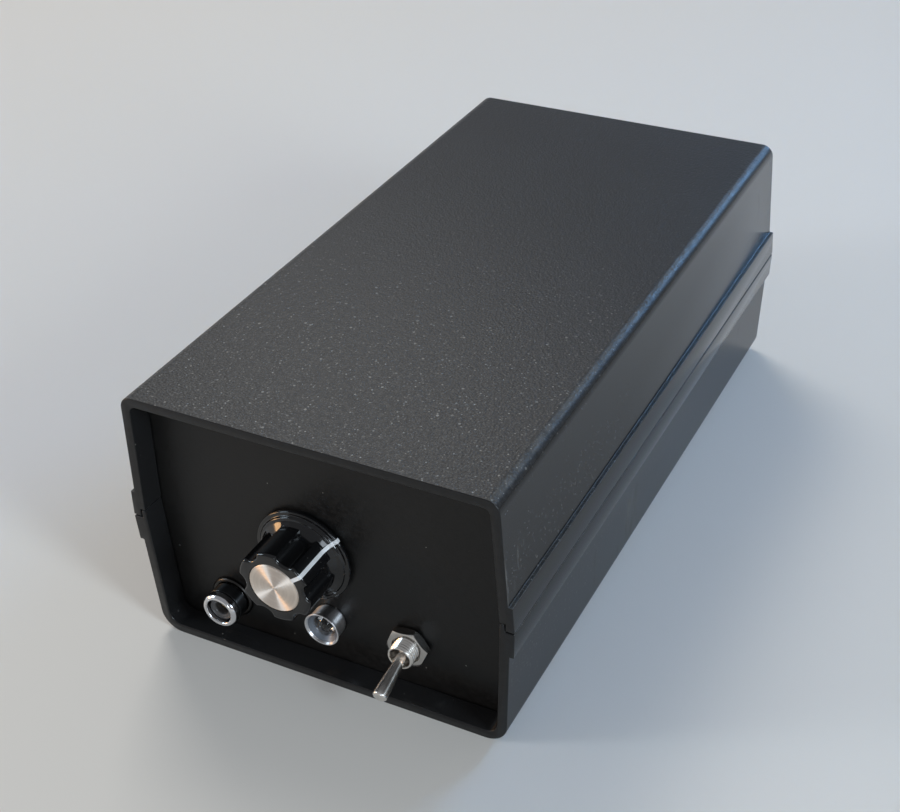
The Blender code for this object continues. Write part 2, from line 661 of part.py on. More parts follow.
def make_capacitor(aluminium, brass, ceramic, axis, front):
    """Frame, rotor, stator and insulators of the tuning capacitor."""
    first = (FRAME_FRONT + FRAME_BACK) / 2 + PLATE_PITCH * (ROTOR_PLATES - 1) / 2
    last = first - PLATE_PITCH * (ROTOR_PLATES - 1)
    hub_ends = (last - PLATE_PITCH / 2, first + PLATE_PITCH / 2)
    bore = SHAFT_RADIUS + GAP
    rotor = tube("rotor_plates", ROTOR_HUB_RADIUS, bore, *hub_ends, aluminium, axis)
    inside = (bore + ROTOR_HUB_RADIUS) / 2
    for number in range(ROTOR_PLATES):
        low = first - number * PLATE_PITCH - PLATE_THICKNESS / 2
        plate = half_ring(inside, ROTOR_RADIUS, POINTER_ANGLE)
        join(rotor, prism(f"rotor_plate_{number + 1}", plate, low, low + PLATE_THICKNESS, aluminium, axis))

    at = (KNOB_X, KNOB_Z, 0)
    reach = ROTOR_RADIUS + GAP
    rod_ends = (FRAME_BACK + FRAME_SHEET + INSULATOR_THICKNESS + 2 * GAP,
                FRAME_FRONT - FRAME_SHEET - INSULATOR_THICKNESS - 2 * GAP)
    rod = STATOR_ROD_HALF
    spots = [(side * (reach + rod), -rod) for side in (-1, 1)]
    rods = []
    for number, (x, y) in enumerate(spots, 1):
        outline = [(x - rod, y - rod), (x + rod, y - rod), (x + rod, y + rod), (x - rod, y + rod)]
        rods.append(prism(f"stator_rod_{number}", outline, *rod_ends, brass, front, at))
    stator = rods[0]
    stator.name = "stator_plates"
    for number in range(ROTOR_PLATES - 1):
        low = first - (number + 0.5) * PLATE_PITCH - PLATE_THICKNESS / 2
        plate = half_ring(ROTOR_HUB_RADIUS + STATOR_CLEARANCE, STATOR_RADIUS, math.pi)
        join(stator, prism(f"stator_plate_{number + 1}", plate, low, low + PLATE_THICKNESS, brass, front, at))
    join(stator, rods[1])

    wide = CAPACITOR_WIDTH / 2
    for label, near in (("front", FRAME_FRONT - FRAME_SHEET - GAP), ("rear", FRAME_BACK + FRAME_SHEET + GAP)):
        far = near + (INSULATOR_THICKNESS if label == "rear" else -INSULATOR_THICKNESS)
        end = wide - INSULATOR_MARGIN
        top = -bore - 3 * GAP
        bar = [(-end, -3 * rod), (end, -3 * rod), (end, top), (-end, top)]
        prism(f"{label}_insulator", bar, min(near, far), max(near, far), ceramic, front, at)

    base = FRAME_FLOOR - FRAME_SHEET
    inner_front = FRAME_FRONT - FRAME_SHEET
    inner_back = FRAME_BACK + FRAME_SHEET
    side_view = [(FRAME_BACK, base), (FRAME_FRONT, base), (FRAME_FRONT, FRAME_TOP), (inner_front, FRAME_TOP)]
    side_view += [(inner_front, FRAME_FLOOR), (inner_back, FRAME_FLOOR)]
    side_view += [(inner_back, FRAME_TOP), (FRAME_BACK, FRAME_TOP)]
    bent = [(-PANEL_FACE - depth, height) for depth, height in side_view]
    side_on = (math.pi / 2, 0, math.pi / 2)
    frame = prism("capacitor_frame", bent, -wide, wide, aluminium, None, (KNOB_X, 0, 0), side_on)
    running = SHAFT_RADIUS + BEARING_GAP
    cut(frame, cylinder("frame_bore", running, FRAME_BACK - GAP, FRAME_FRONT + GAP, aluminium, front, at))
    _, feet = post_places()
    for number, (x, y) in enumerate(feet, 1):
        hole = POST_SCREW_RADIUS + GAP
        top = FRAME_FLOOR + GAP
        cut(frame, cylinder(f"frame_foot_{number}", hole, base - GAP, top, aluminium, at=(x, y, 0)))


def make_post_screws(steel):
    """Small screws that hold the circuit board and the capacitor on their posts."""
    board, frame = post_places()
    seats = [(f"board_screw_{number}", spot, BOARD_TOP) for number, spot in enumerate(board, 1)]
    seats += [(f"frame_screw_{number}", spot, FRAME_FLOOR) for number, spot in enumerate(frame, 1)]
    for name, (x, y), seat in seats:
        under = seat + GAP
        tip = WALL + 2 * GAP
        head_top = under + POST_SCREW_RADIUS
        profile = [(0, tip), (POST_SCREW_RADIUS, tip + POST_SCREW_RADIUS), (POST_SCREW_RADIUS, under)]
        profile += [(POST_SCREW_HEAD, under), (POST_SCREW_HEAD, head_top), (0, head_top)]
        turned(name, profile, steel, at=(x, y, 0), sides=SMALL_SIDES)


def make_lamp(chrome, clear, front):
    """Chromed bezel with a reflector cup, its nut, and the round lamp inside."""
    at = (LAMP_X, LAMP_Z, 0)
    bore = LAMP_RADIUS + GAP
    back = BEHIND_PANEL - BEZEL_THREAD
    neck = BEZEL_BODY_RADIUS - GAP
    profile = [(bore, back), (neck, back), (neck, GAP), (BEZEL_BODY_RADIUS, GAP)]
    profile += [(BEZEL_BODY_RADIUS, BEZEL_HEIGHT - BEZEL_LIP), (BEZEL_RIM_RADIUS, BEZEL_HEIGHT)]
    profile += [(BEZEL_RIM_RADIUS - BEZEL_EDGE, BEZEL_HEIGHT), (bore, BEZEL_HEIGHT - BEZEL_CUP)]
    turned("lamp_bezel", profile, chrome, front, at)
    nut_back = BEHIND_PANEL - SMALL_NUT_HEIGHT
    nut("lamp_nut", BEZEL_NUT_FLATS, neck + GAP, nut_back, BEHIND_PANEL, chrome, front, at)
    tip = BEZEL_HEIGHT - LAMP_RECESS
    shoulder = tip - LAMP_RADIUS
    foot = tip - LAMP_LENGTH
    profile = [(0, foot), (LAMP_RADIUS, foot), (LAMP_RADIUS, shoulder)]
    for step in range(1, 6):
        angle = math.pi / 2 * step / 6
        profile.append((LAMP_RADIUS * math.cos(angle), shoulder + LAMP_RADIUS * math.sin(angle)))
    profile.append((0, tip))
    lamp = turned("indicator_lamp", profile, clear, front, at)
    end = foot - LAMP_LEG
    for side, label in ((-1, "left"), (1, "right")):
        leg_at = (LAMP_X + side * LAMP_RADIUS / 2, LAMP_Z, 0)
        name = f"lamp_{label}_leg"
        join(lamp, cylinder(name, LEAD_RADIUS, end, foot + GAP, clear, front, leg_at, sides=SMALL_SIDES))


def make_phono_socket(chrome, black, brass, front):
    """Phono socket: bright ring on a black collar, insulator, centre contact, flange and nut."""
    at = (PHONO_X, PHONO_Z, 0)
    shoulder = PHONO_HEIGHT - PHONO_RING
    back = BEHIND_PANEL - PHONO_BODY
    sleeve = PHONO_BORE + PHONO_WALL
    collar = sleeve + GAP
    outer = PHONO_RADIUS - PHONO_COLLAR_STEP
    tube("phono_collar", outer, collar, PHONO_FLANGE + GAP, shoulder - GAP, black, front, at)
    tube("phono_flange", PHONO_FLANGE_RADIUS, collar, GAP / 2, PHONO_FLANGE, chrome, front, at)
    profile = [(PHONO_BORE, back), (sleeve, back), (sleeve, shoulder), (PHONO_RADIUS, shoulder)]
    profile += [(PHONO_RADIUS, PHONO_HEIGHT), (PHONO_BORE, PHONO_HEIGHT)]
    turned("phono_ring", profile, chrome, front, at)
    face = PHONO_HEIGHT - PHONO_FACE_SINK
    tube("phono_insulator", PHONO_BORE - GAP, PHONO_PIN_BORE, back, face, black, front, at)
    spring = PHONO_PIN_BORE - GAP
    inside = spring - PHONO_CONTACT_WALL
    tail = back - PHONO_CONTACT_TAIL
    mouth = face - PHONO_CONTACT_SINK
    floor = back + PHONO_CONTACT_FLOOR
    profile = [(0, tail), (inside, tail), (spring, back), (spring, mouth)]
    profile += [(inside, mouth), (inside, floor), (0, floor)]
    turned("phono_contact", profile, brass, front, at, sides=SMALL_SIDES)
    nut_back = BEHIND_PANEL - SMALL_NUT_HEIGHT
    nut("phono_nut", PHONO_NUT_FLATS, collar, nut_back, BEHIND_PANEL, chrome, front, at)


def make_switch(nickel, black, brass, front):
    """Toggle switch: threaded bushing, nuts, housing, terminals and the lever on its pivot."""
    at = (SWITCH_X, SWITCH_Z, 0)
    pivot = SWITCH_BUSHING_HEIGHT - LEVER_PIVOT_DEPTH
    floor = pivot - SWITCH_CUP
    nut_back = BEHIND_PANEL - SWITCH_REAR_NUT_HEIGHT
    plate = nut_back - GAP
    back = plate - SWITCH_PLATE
    radius = SWITCH_BUSHING_RADIUS
    flange = radius + SWITCH_PLATE
    profile = [(0, back), (flange, back), (flange, plate), (radius, plate)]
    profile += [(radius, SWITCH_BUSHING_HEIGHT - GAP), (radius - GAP, SWITCH_BUSHING_HEIGHT)]
    profile += [(SWITCH_BUSHING_BORE, SWITCH_BUSHING_HEIGHT), (SWITCH_BUSHING_BORE, floor), (0, floor)]
    turned("switch_bushing", profile, nickel, front, at)
    bore = radius + GAP
    nut_front = GAP + SWITCH_NUT_HEIGHT
    nut("switch_front_nut", SWITCH_NUT_FLATS, bore, GAP, nut_front, nickel, front, at, SWITCH_NUT_TURN)
    nut("switch_rear_nut", SWITCH_NUT_FLATS, bore, nut_back, BEHIND_PANEL, nickel, front, at)
    housing_front = back - GAP
    body_at = (SWITCH_X, SWITCH_Z, housing_front - SWITCH_DEPTH)
    block("switch_housing", (SWITCH_WIDTH, SWITCH_TALL, SWITCH_DEPTH), black, front, body_at)
    for number in (-1, 0, 1):
        terminal_end = housing_front - SWITCH_DEPTH - GAP - TERMINAL_SIZE[2]
        spot = (SWITCH_X, SWITCH_Z + number * TERMINAL_PITCH, terminal_end)
        block(f"switch_terminal_{number + 2}", TERMINAL_SIZE, brass, front, spot)
    hinge = empty("lever_pivot", (SWITCH_X, SWITCH_Z, pivot), (LEVER_TILT, 0, 0), front)
    ball = SWITCH_BUSHING_BORE - 2 * GAP
    tip = LEVER_PIVOT_DEPTH + LEVER_LENGTH
    profile = [(0, -ball), (ball * 0.8, -ball * 0.6), (ball, 0), (ball * 0.8, ball * 0.6)]
    profile += [(LEVER_NECK_RADIUS, ball), (LEVER_NECK_RADIUS, LEVER_PIVOT_DEPTH)]
    profile += [(LEVER_TIP_RADIUS, tip - GAP), (LEVER_TIP_RADIUS - GAP, tip), (0, tip)]
    turned("switch_lever", profile, nickel, hinge)


def make_coax_socket(nickel, white, brass, rear):
    """Bayonet coaxial socket for the radio, with its insulator, centre contact and nut."""
    at = (-COAX_X, COAX_Z, 0)
    back = BEHIND_PANEL - COAX_BODY
    mouth = COAX_HEIGHT - COAX_BORE_DEPTH
    socket = prism("coax_socket", hexagon(COAX_FLANGE_FLATS), GAP, COAX_FLANGE, nickel, rear, at)
    inner = COAX_BODY_BORE
    step = (GAP + COAX_FLANGE) / 2
    barrel = [(inner, back), (COAX_THREAD_RADIUS, back), (COAX_THREAD_RADIUS, step)]
    barrel += [(COAX_RADIUS, step), (COAX_RADIUS, COAX_HEIGHT), (COAX_BORE, COAX_HEIGHT)]
    barrel += [(COAX_BORE, mouth), (inner, mouth)]
    cut(socket, cylinder("coax_flange_bore", COAX_BORE, 0, COAX_FLANGE + GAP, nickel, rear, at))
    join(socket, turned("coax_barrel", barrel, nickel, rear, at))
    for side, label in ((-1, "low"), (1, "high")):
        name = f"coax_lug_{label}"
        spot = (-COAX_X, COAX_Z, COAX_HEIGHT - COAX_LUG_SETBACK)
        turn = (-side * math.pi / 2, 0, 0)
        start = (COAX_BORE + COAX_RADIUS) / 2
        lug = cylinder(name, COAX_LUG_RADIUS, start, COAX_LUG_REACH, nickel, rear, spot, turn, SMALL_SIDES)
        join(socket, lug)
    outer = inner - GAP
    nose = COAX_NOSE_RADIUS
    tip = COAX_HEIGHT - COAX_NOSE_SINK
    bore = COAX_CONTACT_RADIUS + GAP
    profile = [(bore, back), (outer, back), (outer, mouth), (nose, mouth), (nose, tip), (bore, tip)]
    turned("coax_insulator", profile, white, rear, at)
    pin = COAX_CONTACT_RADIUS
    end = back - COAX_CONTACT_TAIL
    lip = tip - COAX_CONTACT_SINK
    bore = COAX_CONTACT_BORE
    profile = [(0, end), (pin, end), (pin, lip), (bore, lip), (bore, mouth), (0, mouth)]
    turned("coax_contact", profile, brass, rear, at, sides=SMALL_SIDES)
    nut_back = BEHIND_PANEL - LARGE_NUT_HEIGHT
    nut("coax_nut", COAX_NUT_FLATS, COAX_THREAD_RADIUS + GAP, nut_back, BEHIND_PANEL, nickel, rear, at)


def make_ground_socket(black, nickel, rear):
    """Plain 4 mm socket for the counterpoise wire: insulating head, metal sleeve and nut."""
    at = (-GROUND_X, COAX_Z, 0)
    back = BEHIND_PANEL - GROUND_BODY
    sleeve = GROUND_BORE + GROUND_SLEEVE_WALL
    thread = sleeve + GAP + GROUND_WALL
    head = GROUND_HEAD_RADIUS
    profile = [(sleeve + GAP, back), (thread, back), (thread, GAP), (head, GAP)]
    profile += [(head, GROUND_HEAD - GROUND_BEVEL), (head - GROUND_BEVEL, GROUND_HEAD)]
    profile += [(sleeve + GAP, GROUND_HEAD)]
    turned("ground_socket", profile, black, rear, at)
    end = back - GROUND_SLEEVE_TAIL
    floor = end + GROUND_SLEEVE_FLOOR
    profile = [(0, end), (sleeve, end), (sleeve, GROUND_HEAD), (GROUND_BORE, GROUND_HEAD)]
    profile += [(GROUND_BORE, floor), (0, floor)]
    turned("ground_sleeve", profile, nickel, rear, at)
    nut_back = BEHIND_PANEL - LARGE_NUT_HEIGHT
    nut("ground_nut", 2 * GROUND_HEAD_RADIUS, thread + GAP, nut_back, BEHIND_PANEL, nickel, rear, at)
    return thread


def make_board(green):
    """Circuit board with a hole over each post."""
    low = BOARD_STAND + GAP
    board = block("circuit_board", (BOARD_WIDTH, BOARD_LENGTH, BOARD_THICKNESS), green, at=(0, BOARD_Y, low))
    spots, _ = post_places()
    for number, (x, y) in enumerate(spots, 1):
        hole = POST_SCREW_RADIUS + GAP
        name = f"board_hole_{number}"
        top = BOARD_TOP + GAP
        cut(board, cylinder(name, hole, low - GAP, top, green, at=(x, y, 0), sides=SMALL_SIDES))


def make_toroid(iron, copper):
    """Tuning coil: enamelled wire wound round a ring core that lies on the board."""
    centre_y = BOARD_Y - BOARD_LENGTH / 2 + CORE_RADIUS + CORE_EDGE
    low = BOARD_TOP + 2 * WIRE_RADIUS + 3 * GAP
    bevel = CORE_BEVEL
    high = low + CORE_HEIGHT
    profile = [(CORE_BORE, low + bevel), (CORE_BORE + bevel, low), (CORE_RADIUS - bevel, low)]
    profile += [(CORE_RADIUS, low + bevel), (CORE_RADIUS, high - bevel), (CORE_RADIUS - bevel, high)]
    profile += [(CORE_BORE + bevel, high), (CORE_BORE, high - bevel)]
    turned("toroid_core", profile, iron, at=(0, centre_y, 0))
    away = WIRE_RADIUS + GAP
    outer = CORE_RADIUS + away
    inner = CORE_BORE - away
    loop = [(outer, low + bevel), (outer, high - bevel), (CORE_RADIUS - bevel, high + away)]
    loop += [(CORE_BORE + bevel, high + away), (inner, high - bevel), (inner, low + bevel)]
    loop += [(CORE_BORE + bevel, low - away), (CORE_RADIUS - bevel, low - away)]
    count = WINDING_TURNS * len(loop)
    route = []
    for step in range(count + 1):
        radius, height = loop[step % len(loop)]
        angle = WINDING_ARC * (step / count - 0.5)
        route.append((radius * math.sin(angle), centre_y - radius * math.cos(angle), height))
    wire("toroid_winding", route, WIRE_RADIUS, copper, resolution=1)


def make_axial(name, radius, length, body, x, y):
    """A small round component lying on the board along X, with a bent leg at each end."""
    height = BOARD_TOP + radius + 2 * GAP
    half = length / 2
    lead = half + LEAD_SPAN
    thin = LEAD_RADIUS
    profile = [(0, -lead), (thin, -lead), (thin, -half), (radius - BEAD, -half), (radius, BEAD - half)]
    profile += [(radius, half - BEAD), (radius - BEAD, half), (thin, half), (thin, lead), (0, lead)]
    along = (0, math.pi / 2, 0)
    thick = LEAD_RADIUS + LEG_SWELL
    piece = turned(name, profile, body, at=(x, y, height), turn=along, sides=SMALL_SIDES)
    for side, label in ((-1, "left"), (1, "right")):
        spot = (x + side * (lead - LEAD_RADIUS), y, 0)
        foot = BOARD_TOP + GAP
        leg_name = f"{name}_{label}_leg"
        join(piece, cylinder(leg_name, thick, foot, height, body, at=spot, sides=SMALL_SIDES))


def make_board_parts(tan, glass):
    """The resistors of the matching bridge in a row, and its detector diode."""
    row = BOARD_Y + BOARD_LENGTH / 2 - ROW_EDGE
    for number in range(RESISTORS):
        y = row - number * 3 * RESISTOR_RADIUS
        make_axial(f"bridge_resistor_{number + 1}", RESISTOR_RADIUS, RESISTOR_LENGTH, tan, RESISTOR_X, y)
    make_axial("detector_diode", DIODE_RADIUS, DIODE_LENGTH, glass, DIODE_X, row)


def make_wiring(red, black):
    """The lead from the phono socket to the coil's board, and the screened lead from the coaxial socket."""
    start_y = -PANEL_FACE + PANEL_THICKNESS + PHONO_LEAD_START
    frame_y = -PANEL_FACE - FRAME_FRONT + LEAD_BEND
    end_y = BOARD_Y - BOARD_LENGTH / 2 + PHONO_LEAD_END
    side = min(KNOB_X - CAPACITOR_WIDTH / 2, -BOARD_WIDTH / 2) - LEAD_SIDE_GAP
    low = BOARD_TOP + HOOKUP_RADIUS + GAP
    points = [(PHONO_X, start_y, PHONO_Z), (PHONO_X, start_y + 1.5 * LEAD_BEND, PHONO_Z + HOOKUP_RADIUS)]
    points += [(side, frame_y, low + HOOKUP_RADIUS), (side, end_y - 3 * LEAD_BEND, low + HOOKUP_RADIUS)]
    points += [(side + LEAD_BEND, end_y, low), (side + 2 * LEAD_BEND, end_y + 2 * LEAD_BEND, low)]
    wire("phono_lead", smooth_route(points), HOOKUP_RADIUS, red)

    start_y = PANEL_FACE - PANEL_THICKNESS - COAX_LEAD_START
    end_y = BOARD_Y + BOARD_LENGTH / 2 - COAX_LEAD_END
    low = BOARD_TOP + COAX_LEAD_RADIUS + 4 * GAP
    points = [(COAX_X, start_y, COAX_Z), (COAX_X, start_y - LEAD_BEND, COAX_Z - HOOKUP_RADIUS)]
    points += [(COAX_X, start_y - 2 * LEAD_BEND, (COAX_Z + low) / 2), (COAX_X, end_y + LEAD_BEND, low)]
    points += [(COAX_X, end_y, low)]
    wire("coax_lead", smooth_route(points), COAX_LEAD_RADIUS, black)


def main():
    clear_scene()
    plastic = finish("case_plastic", (0.018, 0.018, 0.020), 0.45)
    panel_black = finish("panel_plastic", (0.012, 0.012, 0.013), 0.5)
    gloss = finish("knob_plastic", (0.008, 0.008, 0.009), 0.12)
    spun = finish("spun_aluminium", (0.78, 0.74, 0.70), 0.28, 1.0)
    steel = finish("screw_steel", (0.42, 0.42, 0.43), 0.35, 1.0)
    chrome = finish("chrome", (0.80, 0.80, 0.82), 0.08, 1.0)
    nickel = finish("nickel", (0.66, 0.63, 0.58), 0.22, 1.0)
    brass = finish("brass", (0.70, 0.52, 0.24), 0.30, 1.0)
    aluminium = finish("plate_aluminium", (0.72, 0.73, 0.74), 0.35, 1.0)
    ceramic = finish("ceramic", (0.82, 0.80, 0.74), 0.40)
    clear = finish("lamp_clear", (0.80, 0.82, 0.85), 0.05, 0.0, 0.5)
    white = finish("white_insulator", (0.85, 0.85, 0.83), 0.35)
    green = finish("board_green", (0.03, 0.16, 0.07), 0.40)
    iron = finish("core_red", (0.42, 0.05, 0.04), 0.45)
    copper = finish("enamelled_copper", (0.62, 0.24, 0.08), 0.25, 1.0)
    tan = finish("resistor_tan", (0.60, 0.47, 0.30), 0.50)
    glass = finish("diode_glass", (0.55, 0.25, 0.12), 0.10)
    red = finish("lead_red", (0.45, 0.03, 0.03), 0.45)
    cable = finish("lead_black", (0.02, 0.02, 0.02), 0.50)

    case = empty("case_guide", (0, 0, 0), FACE_FRONT)
    front = empty("front_guide", (0, -PANEL_FACE, 0), FACE_FRONT)
    rear = empty("rear_guide", (0, PANEL_FACE, 0), FACE_REAR)
    axis = empty("tuning_axis", (KNOB_X, -PANEL_FACE, KNOB_Z), FACE_FRONT)

    make_bottom_shell(plastic, case)
    make_top_shell(plastic, case)
    make_case_screws(steel)
    front_holes = [
        (KNOB_X, KNOB_Z, BEARING_RADIUS + GAP),
        (LAMP_X, LAMP_Z, BEZEL_BODY_RADIUS),
        (PHONO_X, PHONO_Z, PHONO_BORE + PHONO_WALL + GAP),
        (SWITCH_X, SWITCH_Z, SWITCH_BUSHING_RADIUS + GAP),
    ]
    make_panel("front_panel", front_holes, panel_black, front)
    make_knob(gloss, spun, steel, axis)
    make_shaft(steel, brass, axis, front)
    make_capacitor(aluminium, brass, ceramic, axis, front)
    make_lamp(chrome, clear, front)
    make_phono_socket(chrome, gloss, brass, front)
    make_switch(nickel, gloss, brass, front)
    make_coax_socket(nickel, white, brass, rear)
    ground_thread = make_ground_socket(gloss, nickel, rear)
    rear_holes = [(-COAX_X, COAX_Z, COAX_THREAD_RADIUS + GAP), (-GROUND_X, COAX_Z, ground_thread + GAP)]
    make_panel("rear_panel", rear_holes, panel_black, rear)
    make_board(green)
    make_post_screws(steel)
    make_toroid(iron, copper)
    make_board_parts(tan, glass)
    make_wiring(red, cable)


main()
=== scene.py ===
"""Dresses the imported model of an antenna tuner: fine shells, controls, sockets and finishes.

Metres, +Z up, the front faces -Y, and the origin is the centre of the case's flat underside.
Pieces on a panel are turned about local Z, which points out of that panel's face, and are then
seated on it.
"""

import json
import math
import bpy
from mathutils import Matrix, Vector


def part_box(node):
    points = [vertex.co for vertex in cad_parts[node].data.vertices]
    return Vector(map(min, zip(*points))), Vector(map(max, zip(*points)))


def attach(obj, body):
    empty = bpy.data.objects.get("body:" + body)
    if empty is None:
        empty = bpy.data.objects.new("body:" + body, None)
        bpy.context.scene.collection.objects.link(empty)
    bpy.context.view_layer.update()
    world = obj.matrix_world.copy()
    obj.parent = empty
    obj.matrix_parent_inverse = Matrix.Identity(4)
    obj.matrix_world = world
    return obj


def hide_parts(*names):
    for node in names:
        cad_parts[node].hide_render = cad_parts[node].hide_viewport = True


bl_info = {
    "name": "Antenna Tuner Dress",
    "version": (1, 0, 0),
    "blender": (4, 5, 0),
    "location": "View3D > Sidebar > Tuner",
    "description": "Builds the visible pieces and finishes of an antenna tuner",
    "category": "Object",
}

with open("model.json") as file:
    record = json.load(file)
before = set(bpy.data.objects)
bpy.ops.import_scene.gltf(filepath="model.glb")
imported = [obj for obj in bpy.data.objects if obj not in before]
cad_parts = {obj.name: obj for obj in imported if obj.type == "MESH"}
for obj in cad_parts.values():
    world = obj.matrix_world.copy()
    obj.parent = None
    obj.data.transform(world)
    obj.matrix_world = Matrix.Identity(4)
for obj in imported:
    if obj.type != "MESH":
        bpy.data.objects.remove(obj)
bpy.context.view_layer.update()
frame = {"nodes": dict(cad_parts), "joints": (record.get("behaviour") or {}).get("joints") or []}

import bmesh
import bpy
from bpy.props import FloatProperty, FloatVectorProperty, IntProperty, PointerProperty
from mathutils import Matrix, Vector

MM = 0.001

CASE = "case"
KNOB = "tuning_shaft_assembly"
LEVER = "lever"
JOINTS = {joint["name"]: joint for joint in frame["joints"]}

FRONT_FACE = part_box("front_panel")[0].y
REAR_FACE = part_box("rear_panel")[1].y
CASE_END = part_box("top_shell")[1].y
CASE_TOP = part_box("top_shell")[1].z
PARTING = CASE_TOP / 2
PANEL_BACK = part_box("front_panel")[1].y
FIT = 0.3 * MM
ROUND = 64
SMALL_ROUND = 32
MOST_SOFTENED = 0.45
RIM_FACING = 0.7

COVER_SCREW = 1.5 * MM
COVER_SCREW_HEAD = 1.8 * MM
SMALL_SCREW = 1.2 * MM
SMALL_SCREW_HEAD = 1.2 * MM
HELD_DOWN = (("board_screw", 4, "circuit_board"), ("frame_screw", 2, "capacitor_frame"))
GRUB = 1.5 * MM
GRUB_HOLE = 1.8 * MM
PAINT = 0.12 * MM
LEAD = 0.35 * MM
FINE_THREAD = (0.5 * MM, 0.12 * MM)
BEHIND_PANEL = -2.4 * MM
TINNED = (0.62, 0.60, 0.58)
LIT_POINT = Vector((0, 0, 0.04))


# ---------------------------------------------------------------- settings


def length(label, text, value):
    """A length for a settings group."""
    return FloatProperty(
        name=label, description=text, default=value, min=0.0, precision=5, unit="LENGTH"
    )


def angle(label, text, degrees):
    """An angle for a settings group."""
    value = math.radians(degrees)
    return FloatProperty(name=label, description=text, default=value, unit="ROTATION")


def share(label, text, value):
    """A factor from 0 to 1 for a settings group."""
    return FloatProperty(
        name=label, description=text, default=value, min=0.0, max=1.0, subtype="FACTOR"
    )


def power(label, text, watts):
    """A light's power for a settings group."""
    return FloatProperty(name=label, description=text, default=watts, unit="POWER")


def family(kind, label, text):
    """A settings group inside the whole."""
    return PointerProperty(type=kind, name=label, description=text)


def tint(label, text, value):
    """A colour for a settings group."""
    return FloatVectorProperty(
        name=label, description=text, default=value, min=0.0, max=1.0, subtype="COLOR"
    )


class TunerCaseSettings(bpy.types.PropertyGroup):
    """Sizes of the two moulded shells."""

    width: length("Width", "Width of the case's top and of its underside", 84.0 * MM)
    wall: length("Wall", "Thickness of the shells' walls", 2.15 * MM)
    draft: FloatProperty(name="Draft", description="Lean of the side walls", default=0.047)
    lower_radius: length("Lower Radius", "Outer radius of the long bottom edges", 5.0 * MM)
    upper_radius: length("Upper Radius", "Outer radius of the long top edges", 3.0 * MM)
    inner_radius: length("Inner Radius", "Radius inside the top edges", 1.6 * MM)
    band_height: length("Band Height", "Height of each band beside the parting line", 6.4 * MM)
    band_proud: length("Band Proud", "How far the bands stand out", 0.95 * MM)
    parting_gap: length("Parting Gap", "Gap between the two shells", 0.4 * MM)
    tongue_height: length("Tongue Height", "Height of the lip inside the parting line", 1.9 * MM)
    tongue_width: length("Tongue Width", "Thickness of the lip inside the parting line", 0.9 * MM)
    rib_height: length("Rib Height", "Height of the ribs that the panels rest against", 1.5 * MM)
    rib_thickness: length("Rib Thickness", "Thickness of the ribs along the case", 1.5 * MM)
    groove_depth: length("Groove Depth", "Depth of the slots that hold the panels", 1.0 * MM)
    edge_radius: length("Edge Radius", "Rounding of the rims and bands", 0.22 * MM)
    pillar_radius: length("Pillar Radius", "Radius of the lower screw pillars", 4.6 * MM)
    upper_pillar_radius: length("Upper Pillars", "Radius of the upper screw pillars", 3.6 * MM)
    screw_grip: length("Screw Grip", "Depth of the screws' upper bores", 12.3 * MM)
    post_radius: length("Post Radius", "Radius of the posts under the board", 2.6 * MM)
    arc_steps: IntProperty(name="Arc Steps", description="Facets in each arc", default=12, min=2)


class TunerKnobSettings(bpy.types.PropertyGroup):
    """Sizes of the tuning knob."""

    body_radius: length("Body Radius", "Radius over the knob's lobes", 8.4 * MM)
    flute_depth: length("Flute Depth", "Depth of the flutes between the lobes", 1.3 * MM)
    flute_angle: angle("Flute Half Angle", "Half the angle that one flute spans", 14.0)
    lobes: IntProperty(name="Lobes", description="Lobes round the knob", default=6, min=3)
    pointer_angle: angle("Pointer Angle", "The pointer at rest, from +X, seen from the front", 38.0)
    pointer_width: length("Pointer Width", "Width of the white line", 0.85 * MM)
    skirt_edge: length("Skirt Edge", "Thickness of the skirt's rim", 1.0 * MM)
    step_radius: length("Step Radius", "Radius of the raised ring on the skirt", 9.9 * MM)
    step_height: length("Step Height", "Height of the raised ring above the skirt", 0.5 * MM)
    cone_height: length("Cone Height", "Height of the body's foot over the ring", 1.5 * MM)
    face_bevel: length("Face Bevel", "Rounding of the face's edge", 0.85 * MM)
    disc_radius: length("Disc Radius", "Radius of the metal disc", 5.75 * MM)
    disc_thickness: length("Disc Thickness", "Thickness of the metal disc", 0.6 * MM)


class TunerFrontSettings(bpy.types.PropertyGroup):
    """Sizes of the fittings on the front panel."""

    bezel_lip: length("Bezel Lip", "Height of the lamp bezel's flared lip", 1.0 * MM)
    bezel_edge: length("Bezel Edge", "Thickness of the bezel's rim", 0.32 * MM)
    bezel_cup: length("Bezel Cup", "Depth of the bezel's cup", 1.3 * MM)
    bezel_neck: length("Bezel Neck", "Step in to the bezel's thread", 0.3 * MM)
    phono_bore: length("Phono Bore", "Inner radius of the phono socket's ring", 3.0 * MM)
    phono_wall: length("Phono Wall", "Wall of the phono socket's sleeve", 0.5 * MM)
    phono_ring: length("Phono Ring", "Length of the bright ring", 1.9 * MM)
    pin_bore: length("Pin Bore", "Radius of the hole for the plug's pin", 1.65 * MM)
    nut_flats: length("Switch Nut", "Size across the flats of the switch's nuts", 8.5 * MM)
    nut_turn: angle("Switch Nut Turn", "Turn of the front nut", 8.0)
    bushing_bore: length("Bushing Bore", "Radius of the switch bushing's mouth", 2.3 * MM)
    thread_pitch: length("Thread Pitch", "Pitch of the switch bushing's thread", 0.6 * MM)
    thread_depth: length("Thread Depth", "Depth of the switch bushing's thread", 0.24 * MM)
    lever_neck: length("Lever Neck", "Radius of the lever's thin end", 1.15 * MM)
    lever_tip: length("Lever Tip", "Radius of the lever at its end", 1.55 * MM)


